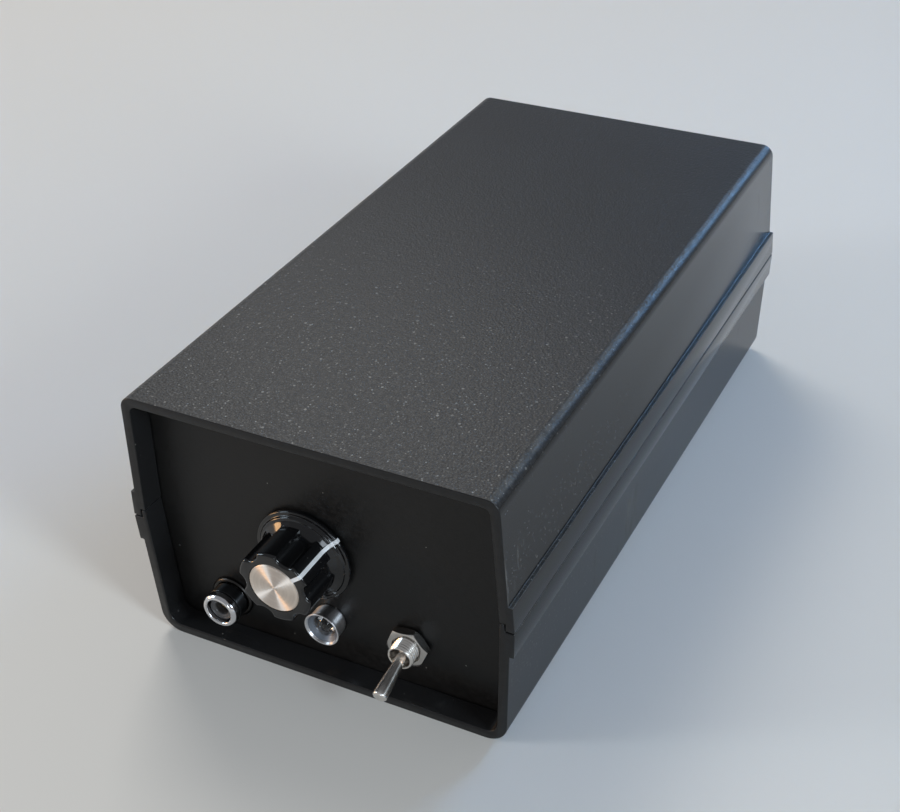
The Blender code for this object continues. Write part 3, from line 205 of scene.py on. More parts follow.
class TunerRearSettings(bpy.types.PropertyGroup):
    """Sizes of the sockets on the rear panel."""

    flange_flats: length("Flange Flats", "Size across the flange's flats", 13.0 * MM)
    flange: length("Flange", "Thickness of the flange", 2.0 * MM)
    barrel_radius: length("Barrel Radius", "Outer radius of the barrel", 4.8 * MM)
    barrel_bore: length("Barrel Bore", "Inner radius of the barrel", 4.1 * MM)
    bore_depth: length("Bore Depth", "Depth of the barrel's mouth", 8.5 * MM)
    body_bore: length("Body Bore", "Inner radius behind the mouth", 3.2 * MM)
    lug_radius: length("Lug Radius", "Radius of the bayonet lugs", 1.0 * MM)
    lug_reach: length("Lug Reach", "Reach of the bayonet lugs from the axis", 5.6 * MM)
    lug_setback: length("Lug Setback", "Distance of the lugs from the mouth", 4.0 * MM)
    ground_head: length("Ground Head", "Thickness of the counterpoise socket's head", 3.0 * MM)
    ground_bore: length("Ground Bore", "Radius of the counterpoise socket's hole", 2.05 * MM)


class TunerFinishSettings(bpy.types.PropertyGroup):
    """Colours and surface values of the finishes."""

    case: tint("Case", "Moulded black plastic", (0.014, 0.014, 0.0145))
    grain: share("Grain", "Strength of the case's pebbled grain", 0.55)
    # Also the colour of the painted glints and the painted edge highlight on the case.
    dust: tint("Dust", "Specks and smears on the case", (0.42, 0.41, 0.38))
    panel: tint("Panel", "Satin black panels", (0.0075, 0.0072, 0.007))
    knob: tint("Knob", "Polished black plastic", (0.0055, 0.0055, 0.006))
    pointer: tint("Pointer", "Paint of the pointer line", (0.90, 0.91, 0.92))
    # Aluminium with a warm tint: the tint is a painted reflection of warm surroundings in the spun
    # face.
    disc: tint("Disc", "Spun aluminium of the knob's disc", (0.95, 0.85, 0.76))
    chrome: tint("Chrome", "Bright plating", (0.80, 0.80, 0.82))
    nickel: tint("Nickel", "Nickel plating", (0.82, 0.79, 0.75))
    steel: tint("Steel", "Screws", (0.42, 0.42, 0.43))
    brass: tint("Brass", "Contacts and bearing", (0.72, 0.53, 0.25))
    aluminium: tint("Aluminium", "Capacitor plates and frame", (0.74, 0.75, 0.76))
    board: tint("Board", "Solder resist", (0.020, 0.130, 0.055))
    floor: tint("Floor", "Pale studio floor", (0.80, 0.77, 0.72))


class TunerStageSettings(bpy.types.PropertyGroup):
    """Camera and lights."""

    eye: FloatVectorProperty(
        name="Eye",
        description="Place of the camera",
        default=(0.13485, -0.26555, 0.22525),
        unit="LENGTH",
    )
    turn: FloatVectorProperty(
        name="Turn",
        description="Rotation of the camera",
        default=(math.radians(55.12), math.radians(1.144), math.radians(25.65)),
        subtype="EULER",
    )
    lens: FloatProperty(
        name="Lens", description="Focal length of the camera", default=59.08, unit="CAMERA"
    )
    shift: FloatVectorProperty(
        name="Shift", description="Shift of the camera's frame", default=(-0.05982, 0.00774), size=2
    )
    key_power: power("Key", "Large light behind the case", 5.0)
    window_power: power("Window", "Cool light at the right", 5.0)
    rim_power: power("Rim", "Cool light at the back right", 0.42)
    left_power: power("Left", "Cool light at the front left", 2.2)
    warm_power: power("Warm", "Low warm light at the left", 2.4)
    front_power: power("Front", "Low light in front", 1.0)
    sky: FloatProperty(
        name="Sky", description="Strength of the even light all round", default=0.28, min=0.0
    )


# ---------------------------------------------------------------- shapes


def settled(bm):
    """Merges doubled points and turns every face outwards."""
    bmesh.ops.remove_doubles(bm, verts=bm.verts, dist=1e-7)
    bmesh.ops.recalc_face_normals(bm, faces=bm.faces)
    return bm


def placed(name, data):
    """A new object in the scene."""
    made = bpy.data.objects.new(name, data)
    bpy.context.scene.collection.objects.link(made)
    return made


def mesh_of(name, bm):
    """A shape as a mesh."""
    mesh = bpy.data.meshes.new(name)
    bm.to_mesh(mesh)
    bm.free()
    return mesh


def on_circle(radius, turn):
    """A point of a circle, at an angle."""
    return (radius * math.cos(turn), radius * math.sin(turn))


def soften(points, radius, steps=4, closed=True):
    """The same outline with a small arc at every corner."""
    made = []
    count = len(points)
    for index, corner in enumerate(points):
        if not closed and index in (0, count - 1):
            made.append(tuple(corner))
            continue
        here = Vector(corner)
        back = Vector(points[index - 1]) - here
        on = Vector(points[(index + 1) % count]) - here
        reach = min(radius, MOST_SOFTENED * back.length, MOST_SOFTENED * on.length)
        start = here + back.normalized() * reach
        stop = here + on.normalized() * reach
        for step in range(steps + 1):
            t = step / steps
            spot = start * (1 - t) ** 2 + here * 2 * t * (1 - t) + stop * t**2
            made.append(tuple(spot))
    return made


def turned(profile, sides=ROUND):
    """A solid of revolution about local Z from (radius, height) points.

    It is closed on the axis, or as a ring.
    """
    bm = bmesh.new()
    points = [bm.verts.new((max(radius, 0.0), 0, height)) for radius, height in profile]
    edges = [bm.edges.new(pair) for pair in zip(points, points[1:])]
    if min(radius for radius, _ in profile) > 0:
        edges.append(bm.edges.new((points[-1], points[0])))
    bmesh.ops.spin(
        bm, geom=points + edges, cent=(0, 0, 0), axis=(0, 0, 1), angle=math.tau, steps=sides,
        use_merge=True,
    )
    return settled(bm)


def soft_ring(profile, radius, steps=3):
    """A ring about local Z whose section has softened corners."""
    return turned(soften(profile, radius, steps))


def soft_bar(profile, radius, steps=3, sides=SMALL_ROUND):
    """A solid about local Z, from axis to axis, with softened corners."""
    return turned(soften(profile, radius, steps, closed=False), sides)


def prism(outline, low, high):
    """A flat outline in local X and Y, extruded from low to high along local Z."""
    bm = bmesh.new()
    face = bm.faces.new([bm.verts.new((x, y, low)) for x, y in outline])
    grown = bmesh.ops.extrude_face_region(bm, geom=[face])["geom"]
    lifted = [item for item in grown if isinstance(item, bmesh.types.BMVert)]
    bmesh.ops.translate(bm, verts=lifted, vec=(0, 0, high - low))
    return settled(bm)


def rod(radius, low, high, sides=SMALL_ROUND):
    """A plain round bar along local Z."""
    return turned([(0, low), (radius, low), (radius, high), (0, high)], sides)


def block(low, high):
    """A rectangular block between two corners."""
    bm = bmesh.new()
    size = Vector(high) - Vector(low)
    middle = (Vector(high) + Vector(low)) / 2
    matrix = Matrix.Translation(middle) @ Matrix.Diagonal((*size, 1.0))
    bmesh.ops.create_cube(bm, size=1.0, matrix=matrix)
    return bm


def moved(bm, matrix):
    """The same shape at another place."""
    bmesh.ops.transform(bm, matrix=matrix, verts=bm.verts)
    return bm


def shifted(bm, x=0.0, y=0.0, z=0.0):
    """The same shape, moved along."""
    return moved(bm, Matrix.Translation((x, y, z)))


def bevelled(bm, edges, width, segments):
    """Rounds the given edges."""
    bmesh.ops.bevel(
        bm, geom=edges, offset=width, offset_type="OFFSET", segments=segments, profile=0.5,
        affect="EDGES", clamp_overlap=True, material=-1,
    )
    return bm


def rounded_edges(bm, width, segments=3, sharp=35.0):
    """Rounds every edge that is sharper than an angle in degrees."""
    limit = math.radians(sharp)
    edges = [edge for edge in bm.edges if edge.is_manifold and edge.calc_face_angle(0.0) > limit]
    return bevelled(bm, edges, width, segments)


def temporary(bm):
    """An object that holds a shape while it is cut."""
    return placed("temporary", mesh_of("temporary", bm))


def carved(bm, *changes):
    """Joins, cuts or trims a shape by others, given as pairs of an operation and a shape."""
    target = temporary(bm)
    others = []
    for operation, shape in changes:
        other = temporary(shape)
        modifier = target.modifiers.new(operation, "BOOLEAN")
        modifier.operation = operation
        modifier.solver = "EXACT"
        modifier.object = other
        others.append(other)
    bpy.context.view_layer.update()
    evaluated = target.evaluated_get(bpy.context.evaluated_depsgraph_get())
    result = bmesh.new()
    result.from_mesh(evaluated.to_mesh())
    evaluated.to_mesh_clear()
    for used in [target, *others]:
        mesh = used.data
        bpy.data.objects.remove(used)
        bpy.data.meshes.remove(mesh)
    return result


def joined(bm, *shapes):
    """One shape made of several that overlap."""
    return carved(bm, *[("UNION", shape) for shape in shapes])


def drilled(bm, *shapes):
    """A shape with others taken out of it."""
    return carved(bm, *[("DIFFERENCE", shape) for shape in shapes])


def gathered(*shapes):
    """Several separate shapes as one."""
    bm = bmesh.new()
    for shape in shapes:
        mesh = mesh_of("gathered", shape)
        bm.from_mesh(mesh)
        bpy.data.meshes.remove(mesh)
    return bm


def cross(half_x, half_y, low, high):
    """Two crossed bars, from low to high along local Z."""
    return joined(
        block((-half_x, -half_y, low), (half_x, half_y, high)),
        block((-half_y, -half_x, low), (half_y, half_x, high)),
    )


def piece(name, bm, finishes, body, replaces=(), slot=None, sharp=30.0):
    """Makes a finished piece: smooth, with its materials, riding on its body, for its CAD nodes."""
    mesh = mesh_of(name, bm)
    for finish in finishes if isinstance(finishes, (list, tuple)) else [finishes]:
        mesh.materials.append(finish)
    mesh.shade_smooth()
    mesh.set_sharp_from_angle(angle=math.radians(sharp))
    made = placed(name, mesh)
    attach(made, body)
    if replaces:
        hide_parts(*replaces)
    return made


def tube_piece(name, route, radius, finish, body, replaces, slot, sides=4):
    """A round wire with filled ends along a list of points, made a mesh."""
    curve = bpy.data.curves.new(name, "CURVE")
    curve.dimensions = "3D"
    curve.bevel_depth = radius
    curve.bevel_resolution = sides
    curve.use_fill_caps = True
    spline = curve.splines.new("POLY")
    spline.points.add(len(route) - 1)
    for point, spot in zip(spline.points, route):
        point.co = (*spot, 1.0)
    holder = placed(name, curve)
    bm = bmesh.new()
    bm.from_mesh(holder.to_mesh())
    bpy.data.objects.remove(holder)
    bpy.data.curves.remove(curve)
    return piece(name, settled(bm), finish, body, replaces, slot, sharp=60.0)


def front_seat(x, z):
    """Turns local Z out of the front panel, at a place on its face."""
    return Matrix.Translation((x, FRONT_FACE, z)) @ Matrix.Rotation(math.pi / 2, 4, "X")


def rear_seat(x, z):
    """Turns local Z out of the rear panel, at a place on its face."""
    about = Matrix.Rotation(math.pi, 4, "Z") @ Matrix.Rotation(math.pi / 2, 4, "X")
    return Matrix.Translation((x, REAR_FACE, z)) @ about


class Fitting:
    """Where a round CAD node stands on a panel.

    It holds the node's axis, its radius and its ends, which are measured out of the panel's face.
    """

    def __init__(self, name, rear=False):
        low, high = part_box(name)
        self.name = name
        self.x = (low.x + high.x) / 2
        self.z = (low.z + high.z) / 2
        self.radius = (high.x - low.x) / 2
        self.back = low.y - REAR_FACE if rear else FRONT_FACE - high.y
        self.out = high.y - REAR_FACE if rear else FRONT_FACE - low.y
        self.seat = rear_seat(self.x, self.z) if rear else front_seat(self.x, self.z)
        self.centre = (self.x, REAR_FACE if rear else FRONT_FACE, self.z)

    def piece(self, name, bm, finishes, slot, body=CASE, **options):
        """Seats a shape here as a piece that stands for this node."""
        return piece(name, moved(bm, self.seat), finishes, body, [self.name], slot, **options)


def hexagon(flats, turn=0.0):
    """A six-sided outline of a given size across its flats."""
    radius = flats / math.sqrt(3)
    return [on_circle(radius, turn + math.tau * step / 6) for step in range(6)]


def nut_piece(name, fitting, flats, bore, finish, slot, turn=0.0):
    """A nut with round chamfers over its corners and a countersunk bore."""
    low, high = fitting.back, fitting.out
    corner = flats / math.sqrt(3)
    drop = (corner - flats / 2) * 0.62
    shoulder = flats / 2 * 0.985
    trim = [(0, low), (shoulder, low), (corner, low + drop)]
    trim += [(corner, high - drop), (shoulder, high), (0, high)]
    sink = 0.35 * MM
    hole = [(0, low - FIT), (bore, low - FIT), (bore, high - sink)]
    hole += [(bore + sink, high + FIT / 4), (0, high + FIT)]
    plain = prism(hexagon(flats, turn), low, high)
    nut = carved(plain, ("INTERSECT", turned(trim)), ("DIFFERENCE", turned(hole)))
    fitting.piece(name, nut, finish, slot)


def thread(radius, low, high, pitch, depth):
    """The zigzag of a thread's crests and roots, from low to high, as (radius, height) points."""
    turns = max(1, round((high - low) / pitch))
    step = (high - low) / turns
    points = []
    for turn in range(turns):
        base = low + turn * step
        points += [(radius - depth, base), (radius, base + 0.4 * step), (radius, base + 0.6 * step)]
    return points + [(radius - depth, high)]


def screw_piece(name, node, radius, head, steel, downwards=False):
    """A screw along Z for a CAD node, with a domed head of a given height and a cross recess."""
    low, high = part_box(node)
    x, y = (low.x + high.x) / 2, (low.y + high.y) / 2
    head_radius = high.x - x
    base = low.z + head if downwards else high.z - head
    tip = base - high.z if downwards else low.z - base
    crown = [(0, head), (head_radius * 0.62, head), (head_radius, head * 0.3)]
    dome = soften(crown, head_radius * 0.3, 4, False)
    shank = thread(radius, tip + radius, -radius * 0.6, radius * 0.8, radius * 0.16)
    profile = [(0, tip), *shank, (radius, -radius * 0.2), (radius, 0), (head_radius, 0)]
    recess = cross(head_radius * 0.62, head_radius * 0.16, head * 0.35, head * 2)
    made = drilled(turned(profile + dome[::-1], SMALL_ROUND), recess)
    if downwards:
        moved(made, Matrix.Rotation(math.pi, 4, "X"))
    piece(name, shifted(made, x, y, base), steel, CASE, [node], "screw_steel")


# ---------------------------------------------------------------- finishes


class Sheet:
    """A node tree that is being drawn, with short calls for its usual nodes."""

    def __init__(self, tree):
        self.tree = tree

    def feed(self, socket, value):
        """Links a value into a socket, or sets it there."""
        if isinstance(value, bpy.types.NodeSocket):
            self.tree.links.new(value, socket)
        else:
            socket.default_value = value

    def node(self, kind, inputs, **options):
        """Adds a node, sets its options, and fills or links its inputs."""
        made = self.tree.nodes.new("ShaderNode" + kind)
        for option, value in options.items():
            setattr(made, option, value)
        for label, value in inputs.items():
            self.feed(made.inputs[label], value)
        return made

    def calc(self, operation, first, second=0.0):
        """The result of one sum."""
        return self.node("Math", {0: first, 1: second}, operation=operation).outputs[0]

    def times(self, result, *others):
        """The product of several values."""
        for value in others:
            result = self.calc("MULTIPLY", result, value)
        return result

    def plus(self, first, second):
        """The sum of two values."""
        return self.calc("ADD", first, second)

    def fade(self, value, start, stop, low=0.0, high=1.0):
        """A smooth change from low to high while the value goes from start to stop."""
        ends = {"From Min": start, "From Max": stop, "To Min": low, "To Max": high}
        made = self.node("MapRange", {"Value": value, **ends}, interpolation_type="SMOOTHSTEP")
        return made.outputs[0]

    def blend(self, factor, first, second):
        """A mix of two colours."""
        inputs = {0: factor, 6: first, 7: second}
        for label, value in inputs.items():
            if isinstance(value, tuple):
                inputs[label] = (*value, 1.0)
        return self.node("Mix", inputs, data_type="RGBA").outputs[2]

    def noise(self, where, scale, detail=2.0, roughness=0.5):
        """The value of a noise texture."""
        inputs = {"Vector": where, "Scale": scale, "Detail": detail, "Roughness": roughness}
        return self.node("TexNoise", inputs).outputs[0]

    def parts(self, vector):
        """The three numbers of a vector."""
        return self.node("SeparateXYZ", {"Vector": vector}).outputs

    def shared(self, name, **inputs):
        """Places a shared effect, drawing its group the first time."""
        if name not in FINISHES:
            FINISHES[name] = EFFECTS[name](name)
        made = self.tree.nodes.new("ShaderNodeGroup")
        made.node_tree = FINISHES[name]
        for label, value in inputs.items():
            self.feed(made.inputs[label], value)
        return made.outputs


class Effect(Sheet):
    """A shared node group with a vector and some float inputs, and float outputs."""

    def __init__(self, name, inputs, outputs):
        super().__init__(bpy.data.node_groups.new(name, "ShaderNodeTree"))
        new_socket = self.tree.interface.new_socket
        new_socket("Vector", in_out="INPUT", socket_type="NodeSocketVector")
        for label, value in inputs.items():
            new_socket(label, in_out="INPUT", socket_type="NodeSocketFloat").default_value = value
        for label in outputs:
            new_socket(label, in_out="OUTPUT", socket_type="NodeSocketFloat")
        self.entry = self.tree.nodes.new("NodeGroupInput").outputs
        self.leave = self.tree.nodes.new("NodeGroupOutput").inputs
        self.where = self.entry["Vector"]


class Finish(Sheet):
    """A material that is being drawn: a Principled shader with plain values to start from."""

    def __init__(self, name, colour, roughness, **sockets):
        self.material = bpy.data.materials.new(name)
        self.material.use_nodes = True
        super().__init__(self.material.node_tree)
        self.shader = self.tree.nodes["Principled BSDF"]
        self.set(Base_Color=(*colour, 1.0), Roughness=roughness, **sockets)
        coordinates = self.tree.nodes.new("ShaderNodeTexCoord").outputs
        self.where, self.facing = coordinates["Object"], coordinates["Normal"]

    def set(self, **sockets):
        """Fills or links the shader's sockets, with an underscore for each space."""
        for label, value in sockets.items():
            self.feed(self.shader.inputs[label.replace("_", " ")], value)

    def centred(self, centre):
        """Coordinates measured from a piece's own centre."""
        place = {"Vector": self.where, "Location": [-value for value in centre]}
        return self.node("Mapping", place).outputs[0]

    def bump(self, height, strength, distance):
        """Feeds a height to the shader's normal."""
        inputs = {"Height": height, "Strength": strength, "Distance": distance}
        self.set(Normal=self.node("Bump", inputs).outputs[0])

    def lathe_grain(self, amount):
        """Spreads highlights across the rings that a lathe leaves round local Y."""
        tangent = self.node("Tangent", {}, direction_type="RADIAL", axis="Y").outputs[0]
        self.set(Anisotropic=amount, Anisotropic_Rotation=0.25, Tangent=tangent)


def moulded_grain(name):
    """Pebbled grain of a spark-eroded mould: rounded cells broken up by noise."""
    made = Effect(name, {"Scale": 1500.0}, ["Height", "Tone"])
    scale = made.entry["Scale"]
    cells = {"Vector": made.where, "Scale": scale, "Smoothness": 0.35}
    pebble = made.node("TexVoronoi", cells, feature="SMOOTH_F1").outputs["Distance"]
    coarse = made.noise(made.where, made.times(scale, 0.45), 3.0)
    wide = made.noise(made.where, 28.0)
    made.feed(made.leave["Height"], made.plus(made.times(pebble, 0.7), made.times(coarse, 0.9)))
    tone = made.times(made.fade(coarse, 0.35, 0.7), made.fade(wide, 0.3, 0.7, 0.6, 1.0))
    made.feed(made.leave["Tone"], tone)
    return made.tree


def dust_specks(name):
    """Small separate specks, fewer and larger ones among many fine ones."""
    made = Effect(name, {"Scale": 420.0, "Size": 0.12, "Amount": 0.2}, ["Mask"])
    masks = []
    for finer, wider in ((1.0, 1.0), (2.3, 1.5)):
        cells = {"Vector": made.where, "Scale": made.times(made.entry["Scale"], finer)}
        cell = made.node("TexVoronoi", cells, feature="F1").outputs
        near = made.calc("LESS_THAN", cell["Distance"], made.times(made.entry["Size"], wider))
        pick = made.node("SeparateColor", {"Color": cell["Color"]}).outputs
        chosen = made.calc("LESS_THAN", pick[0], made.entry["Amount"])
        masks.append(made.times(near, chosen, pick[1]))
    made.feed(made.leave["Mask"], made.calc("MAXIMUM", *masks))
    return made.tree


def wiped_smears(name):
    """Faint wiped streaks, as dry fingers and a cloth leave on polished plastic."""
    made = Effect(name, {"Scale": 60.0, "Cover": 0.5}, ["Mask"])
    along = {"Vector": made.where, "Rotation": (0.5, 0.0, 0.0), "Scale": (1.0, 0.9, 0.22)}
    stretch = made.node("Mapping", along).outputs[0]
    streak = made.noise(stretch, made.entry["Scale"], 4.0, 0.65)
    patch = made.noise(made.where, 22.0)
    fine = made.noise(stretch, made.times(made.entry["Scale"], 6.0))
    edge = made.calc("SUBTRACT", 0.86, made.times(made.entry["Cover"], 0.3))
    mask = made.fade(streak, edge, made.plus(edge, 0.14))
    mask = made.times(mask, made.fade(patch, 0.42, 0.62), made.fade(fine, 0.3, 0.6, 0.4, 1.0))
    made.feed(made.leave["Mask"], mask)
    return made.tree


def turning_marks(name):
    """Fine rings left by a lathe round local Y, and the slow change of tone between them."""
    made = Effect(name, {"Scale": 9000.0}, ["Height", "Tone"])
    scale = made.entry["Scale"]
    x, y, z = made.parts(made.where)
    radius = made.calc("POWER", made.plus(made.times(x, x), made.times(z, z)), 0.5)
    along = made.plus(made.times(radius, scale), made.times(y, scale))
    line = made.node("CombineXYZ", {0: along}).outputs[0]
    made.feed(made.leave["Height"], made.noise(line, 1.0, 3.0, 0.7))
    made.feed(made.leave["Tone"], made.fade(made.noise(line, 0.08), 0.3, 0.7))
    return made.tree


EFFECTS = {
    "Moulded Grain": moulded_grain,
    "Dust Specks": dust_specks,
    "Smears": wiped_smears,
    "Turning Marks": turning_marks,
}
FINISHES = {}


def scaled(colour, factor, extra=0.0):
    """A darker or paler colour."""
    return tuple(min(1.0, value * factor + extra) for value in colour)


def case_outer_finish(look, case):
    """Black plastic: grained on top and below, smoother down the sides, polished on the bands, with
    painted glints toward the front of the flat faces and a painted highlight along the rounded
    edges.
    """
    made = Finish("case_grained", look.case, 0.4, IOR=1.43)
    times, fade, where = made.times, made.fade, made.where
    black, dust_and_sheen_colour = tuple(look.case), tuple(look.dust)
    x, y, z = made.parts(where)
    steep = made.calc("ABSOLUTE", made.parts(made.facing)[2])
    flat = fade(steep, 0.35, 0.9)
    side = made.calc("SUBTRACT", 1.0, flat)
    band_x = case.width / 2 + case.draft * PARTING - case.band_proud * 0.2
    band = made.calc("GREATER_THAN", made.calc("ABSOLUTE", x), band_x)
    lower = fade(z, PARTING - 5 * MM, PARTING - 7 * MM)
    # Rises toward the front end, where the sheen falls: it thickens the specks and the painted
    # glints there.
    front = fade(y, 0.03, -CASE_END, 0.12, 1.0)
    grain = made.shared("Moulded Grain", Vector=where, Scale=1900.0)
    dust = made.shared("Dust Specks", Vector=where, Scale=470.0, Size=0.14, Amount=0.5)
    smears = made.shared("Smears", Vector=where, Scale=95.0, Cover=0.9)

    smear = times(smears["Mask"], times(side, made.calc("SUBTRACT", 1.0, band)))
    # Dust specks, denser toward the front, where they also paint in glints of the sheen.
    specks = times(dust["Mask"], front, fade(flat, 0.0, 1.0, 0.3, 1.0))
    # Painted glints: fine pale flecks on the flat faces, stronger toward the front, painted into
    # the colour in place of the sparkle of the sheen.
    glint_noise = fade(made.noise(where, 2400.0, 3.0, 0.7), 0.5, 0.78)
    painted_glints = times(glint_noise, times(flat, front))
    # Painted highlight: a paler, broken line where the flat faces round over into the sides, in
    # place of the sheen along the rounded edges.
    sheen_breakup = fade(made.noise(where, 350.0, 3.0), 0.25, 0.6, 0.4, 1.0)
    wear_and_sheen = times(fade(steep, 0.996, 0.95), fade(steep, 0.70, 0.86), sheen_breakup)
    colour = made.blend(times(grain["Tone"], flat), black, scaled(black, 1.9, 0.006))
    # Dust, smears, the painted glints and the painted edge highlight are all mixed in with one pale
    # colour.
    for mask, share_of_dust_and_sheen in ((smear, 0.26), (specks, 0.62), (painted_glints, 0.32), (wear_and_sheen, 0.16)):
        colour = made.blend(times(mask, share_of_dust_and_sheen), colour, dust_and_sheen_colour)

    rough_side = made.plus(0.2, times(lower, 0.08))
    rough_side = made.calc("SUBTRACT", rough_side, times(band, 0.12))
    rough_side = made.plus(rough_side, times(smear, 0.3))
    rough_flat = made.plus(0.47, times(grain["Tone"], 0.1))
    rough = made.plus(times(rough_side, side), times(rough_flat, flat))
    made.set(Base_Color=colour, Roughness=rough)
    strength = made.plus(times(flat, 0.94), 0.06)
    made.bump(times(grain["Height"], strength, look.grain), 1.0, 0.16 * MM)
    return made.material


def case_inner_finish(look):
    """The same plastic off the smooth core side of the mould."""
    made = Finish("case_moulded", look.case, 0.3, IOR=1.5)
    dust = made.shared("Dust Specks", Vector=made.where, Scale=300.0, Size=0.07, Amount=0.1)
    colour = made.blend(made.times(dust["Mask"], 0.5), tuple(look.case), tuple(look.dust))
    wave = made.noise(made.where, 260.0)
    made.set(Base_Color=colour, Roughness=made.fade(wave, 0.3, 0.7, 0.15, 0.24))
    made.bump(wave, 0.5, 0.12 * MM)
    return made.material


def panel_finish(look):
    """Satin black sheet with a very fine surface."""
    made = Finish("panel_satin", look.panel, 0.42, IOR=1.32)
    grain = made.shared("Moulded Grain", Vector=made.where, Scale=2600.0)
    dust = made.shared("Dust Specks", Vector=made.where, Scale=230.0, Size=0.05, Amount=0.12)
    colour = made.blend(grain["Tone"], tuple(look.panel), scaled(look.panel, 1.5))
    colour = made.blend(made.times(dust["Mask"], 0.5), colour, tuple(look.dust))
    made.set(Base_Color=colour, Roughness=made.fade(grain["Tone"], 0.0, 1.0, 0.36, 0.48))
    made.bump(grain["Height"], 0.5, 0.03 * MM)
    return made.material


def polished_finish(name, colour, look, roughness):
    """Polished dark plastic with a few specks and faint rubbing."""
    made = Finish(name, colour, roughness, IOR=1.52)
    dust = made.shared("Dust Specks", Vector=made.where, Scale=520.0, Size=0.06, Amount=0.08)
    mixed = made.blend(made.times(dust["Mask"], 0.4), tuple(colour), tuple(look.dust))
    rub = made.noise(made.where, 700.0, 3.0)
    rough = made.fade(rub, 0.35, 0.75, roughness * 0.6, roughness * 1.7)
    made.set(Base_Color=mixed, Roughness=rough)
    made.bump(made.noise(made.where, 330.0, 1.0), 0.4, 0.02 * MM)
    return made.material


def metal_finish(name, colour, centre, roughness, mark=0.012, grain=0.0, scale=9000.0):
    """Turned or plated metal with lathe rings round its own axis and slightly dull patches."""
    made = Finish(name, colour, roughness, Metallic=1.0)
    spot = made.centred(centre)
    marks = made.shared("Turning Marks", Vector=spot, Scale=scale)
    wear_and_sheen = made.fade(made.noise(spot, 900.0, 4.0, 0.6), 0.42, 0.7)
    rough = made.fade(marks["Tone"], 0.0, 1.0, roughness * 0.92, roughness * 1.08)
    made.set(
        Base_Color=made.blend(wear_and_sheen, tuple(colour), scaled(colour, 0.92)),
        Roughness=made.plus(rough, made.times(wear_and_sheen, roughness * 0.1)),
    )
    made.bump(marks["Height"], 1.0, mark * MM)
    if grain:
        made.lathe_grain(grain)
    return made.material


def spun_finish(look, centre):
    """Aluminium spun on its face, whose fine rings spread the light in fans; its warm tint is a
    painted reflection of warm surroundings.
    """
    made = Finish("disc_spun", look.disc, 0.5, Metallic=1.0)
    marks = made.shared("Turning Marks", Vector=made.centred(centre), Scale=22000.0)
    tone = made.fade(marks["Tone"], 0.0, 1.0)
    made.set(
        Base_Color=made.blend(tone, tuple(look.disc), scaled(look.disc, 0.95)),
        Roughness=made.fade(marks["Tone"], 0.0, 1.0, 0.46, 0.54),
    )
    made.lathe_grain(0.96)
    return made.material


def plain_finish(name, colour, roughness, spread=0.15, scale=600.0, relief=0.01, **sockets):
    """A surface with a slight change of tone and gloss over it, and a fine relief."""
    made = Finish(name, colour, roughness, **sockets)
    tone = made.noise(made.where, scale, 3.0)
    patches = made.fade(tone, 0.3, 0.7)
    made.set(
        Base_Color=made.blend(patches, tuple(colour), scaled(colour, 1.0 - spread)),
        Roughness=made.fade(tone, 0.3, 0.7, roughness * 0.85, roughness * 1.2),
    )
    made.bump(made.noise(made.where, scale * 3), 0.6, relief * MM)
    return made.material


def clear_finish():
    """Clear epoxy of the lamp, with a trace of cloud in it."""
    made = Finish("lamp_clear", (0.93, 0.95, 0.98), 0.04, IOR=1.5, Transmission_Weight=1.0)
    cloud = made.noise(made.where, 900.0)
    made.set(Roughness=made.fade(cloud, 0.4, 0.7, 0.02, 0.09))
    return made.material


def board_finish(look):
    """Green solder resist over darker copper tracks."""
    made = Finish("board_green", look.board, 0.35, IOR=1.5)
    cells = {"Vector": made.where, "Scale": 130.0, "Randomness": 0.35}
    edges = made.node("TexVoronoi", cells, feature="DISTANCE_TO_EDGE", distance="EUCLIDEAN")
    track = made.fade(edges.outputs["Distance"], 0.06, 0.09, 1.0, 0.0)
    made.set(
        Base_Color=made.blend(track, tuple(look.board), scaled(look.board, 1.6, 0.004)),
        Roughness=made.fade(made.noise(made.where, 400.0), 0.3, 0.7, 0.28, 0.42),
    )
    made.bump(track, 0.7, 0.05 * MM)
    return made.material


def banded_finish(name, body, bands, centre, half_length, roughness):
    """A small component's body with coloured rings painted round local X, and its bare leads."""
    made = Finish(name, body, roughness, IOR=1.5)
    x = made.parts(made.centred(centre))[0]
    colour = body
    for offset, width, paint in bands:
        away = made.calc("ABSOLUTE", made.calc("SUBTRACT", x, offset))
        colour = made.blend(made.calc("LESS_THAN", away, width / 2), colour, paint)
    leads = made.calc("GREATER_THAN", made.calc("ABSOLUTE", x), half_length)
    tone = made.noise(made.where, 900.0)
    made.set(
        Base_Color=made.blend(leads, colour, TINNED),
        Metallic=leads,
        Roughness=made.fade(tone, 0.3, 0.7, roughness * 0.8, roughness * 1.2),
    )
    return made.material


def refinish(finish, *names):
    """Gives CAD nodes that stay in view a better material."""
    for name in names:
        mesh = frame["nodes"][name].data
        mesh.materials.clear()
        mesh.materials.append(finish)


# ---------------------------------------------------------------- case


def side_x(case, height, inset=0.0):
    """Half the case's width at a height, less an inset."""
    return case.width / 2 + case.draft * min(height, CASE_TOP - height) - inset


def corner(case, inset, radius):
    """The right-hand arc from the flat underside round to the leaning wall."""
    lean = math.atan(case.draft)
    centre_z = inset + radius
    centre_x = side_x(case, centre_z, inset) - radius / math.cos(lean)
    arc = []
    for step in range(case.arc_steps + 1):
        x, z = on_circle(radius, -math.pi / 2 + (math.pi / 2 - lean) * step / case.arc_steps)
        arc.append((centre_x + x, centre_z + z))
    return arc


def flipped(points):
    """The same points measured down from the top of the case."""
    return [(x, CASE_TOP - height) for x, height in points]


def both_sides(points):
    """A right-hand outline with its mirror image, as one loop."""
    return points + [(-x, height) for x, height in reversed(points) if x > 0]


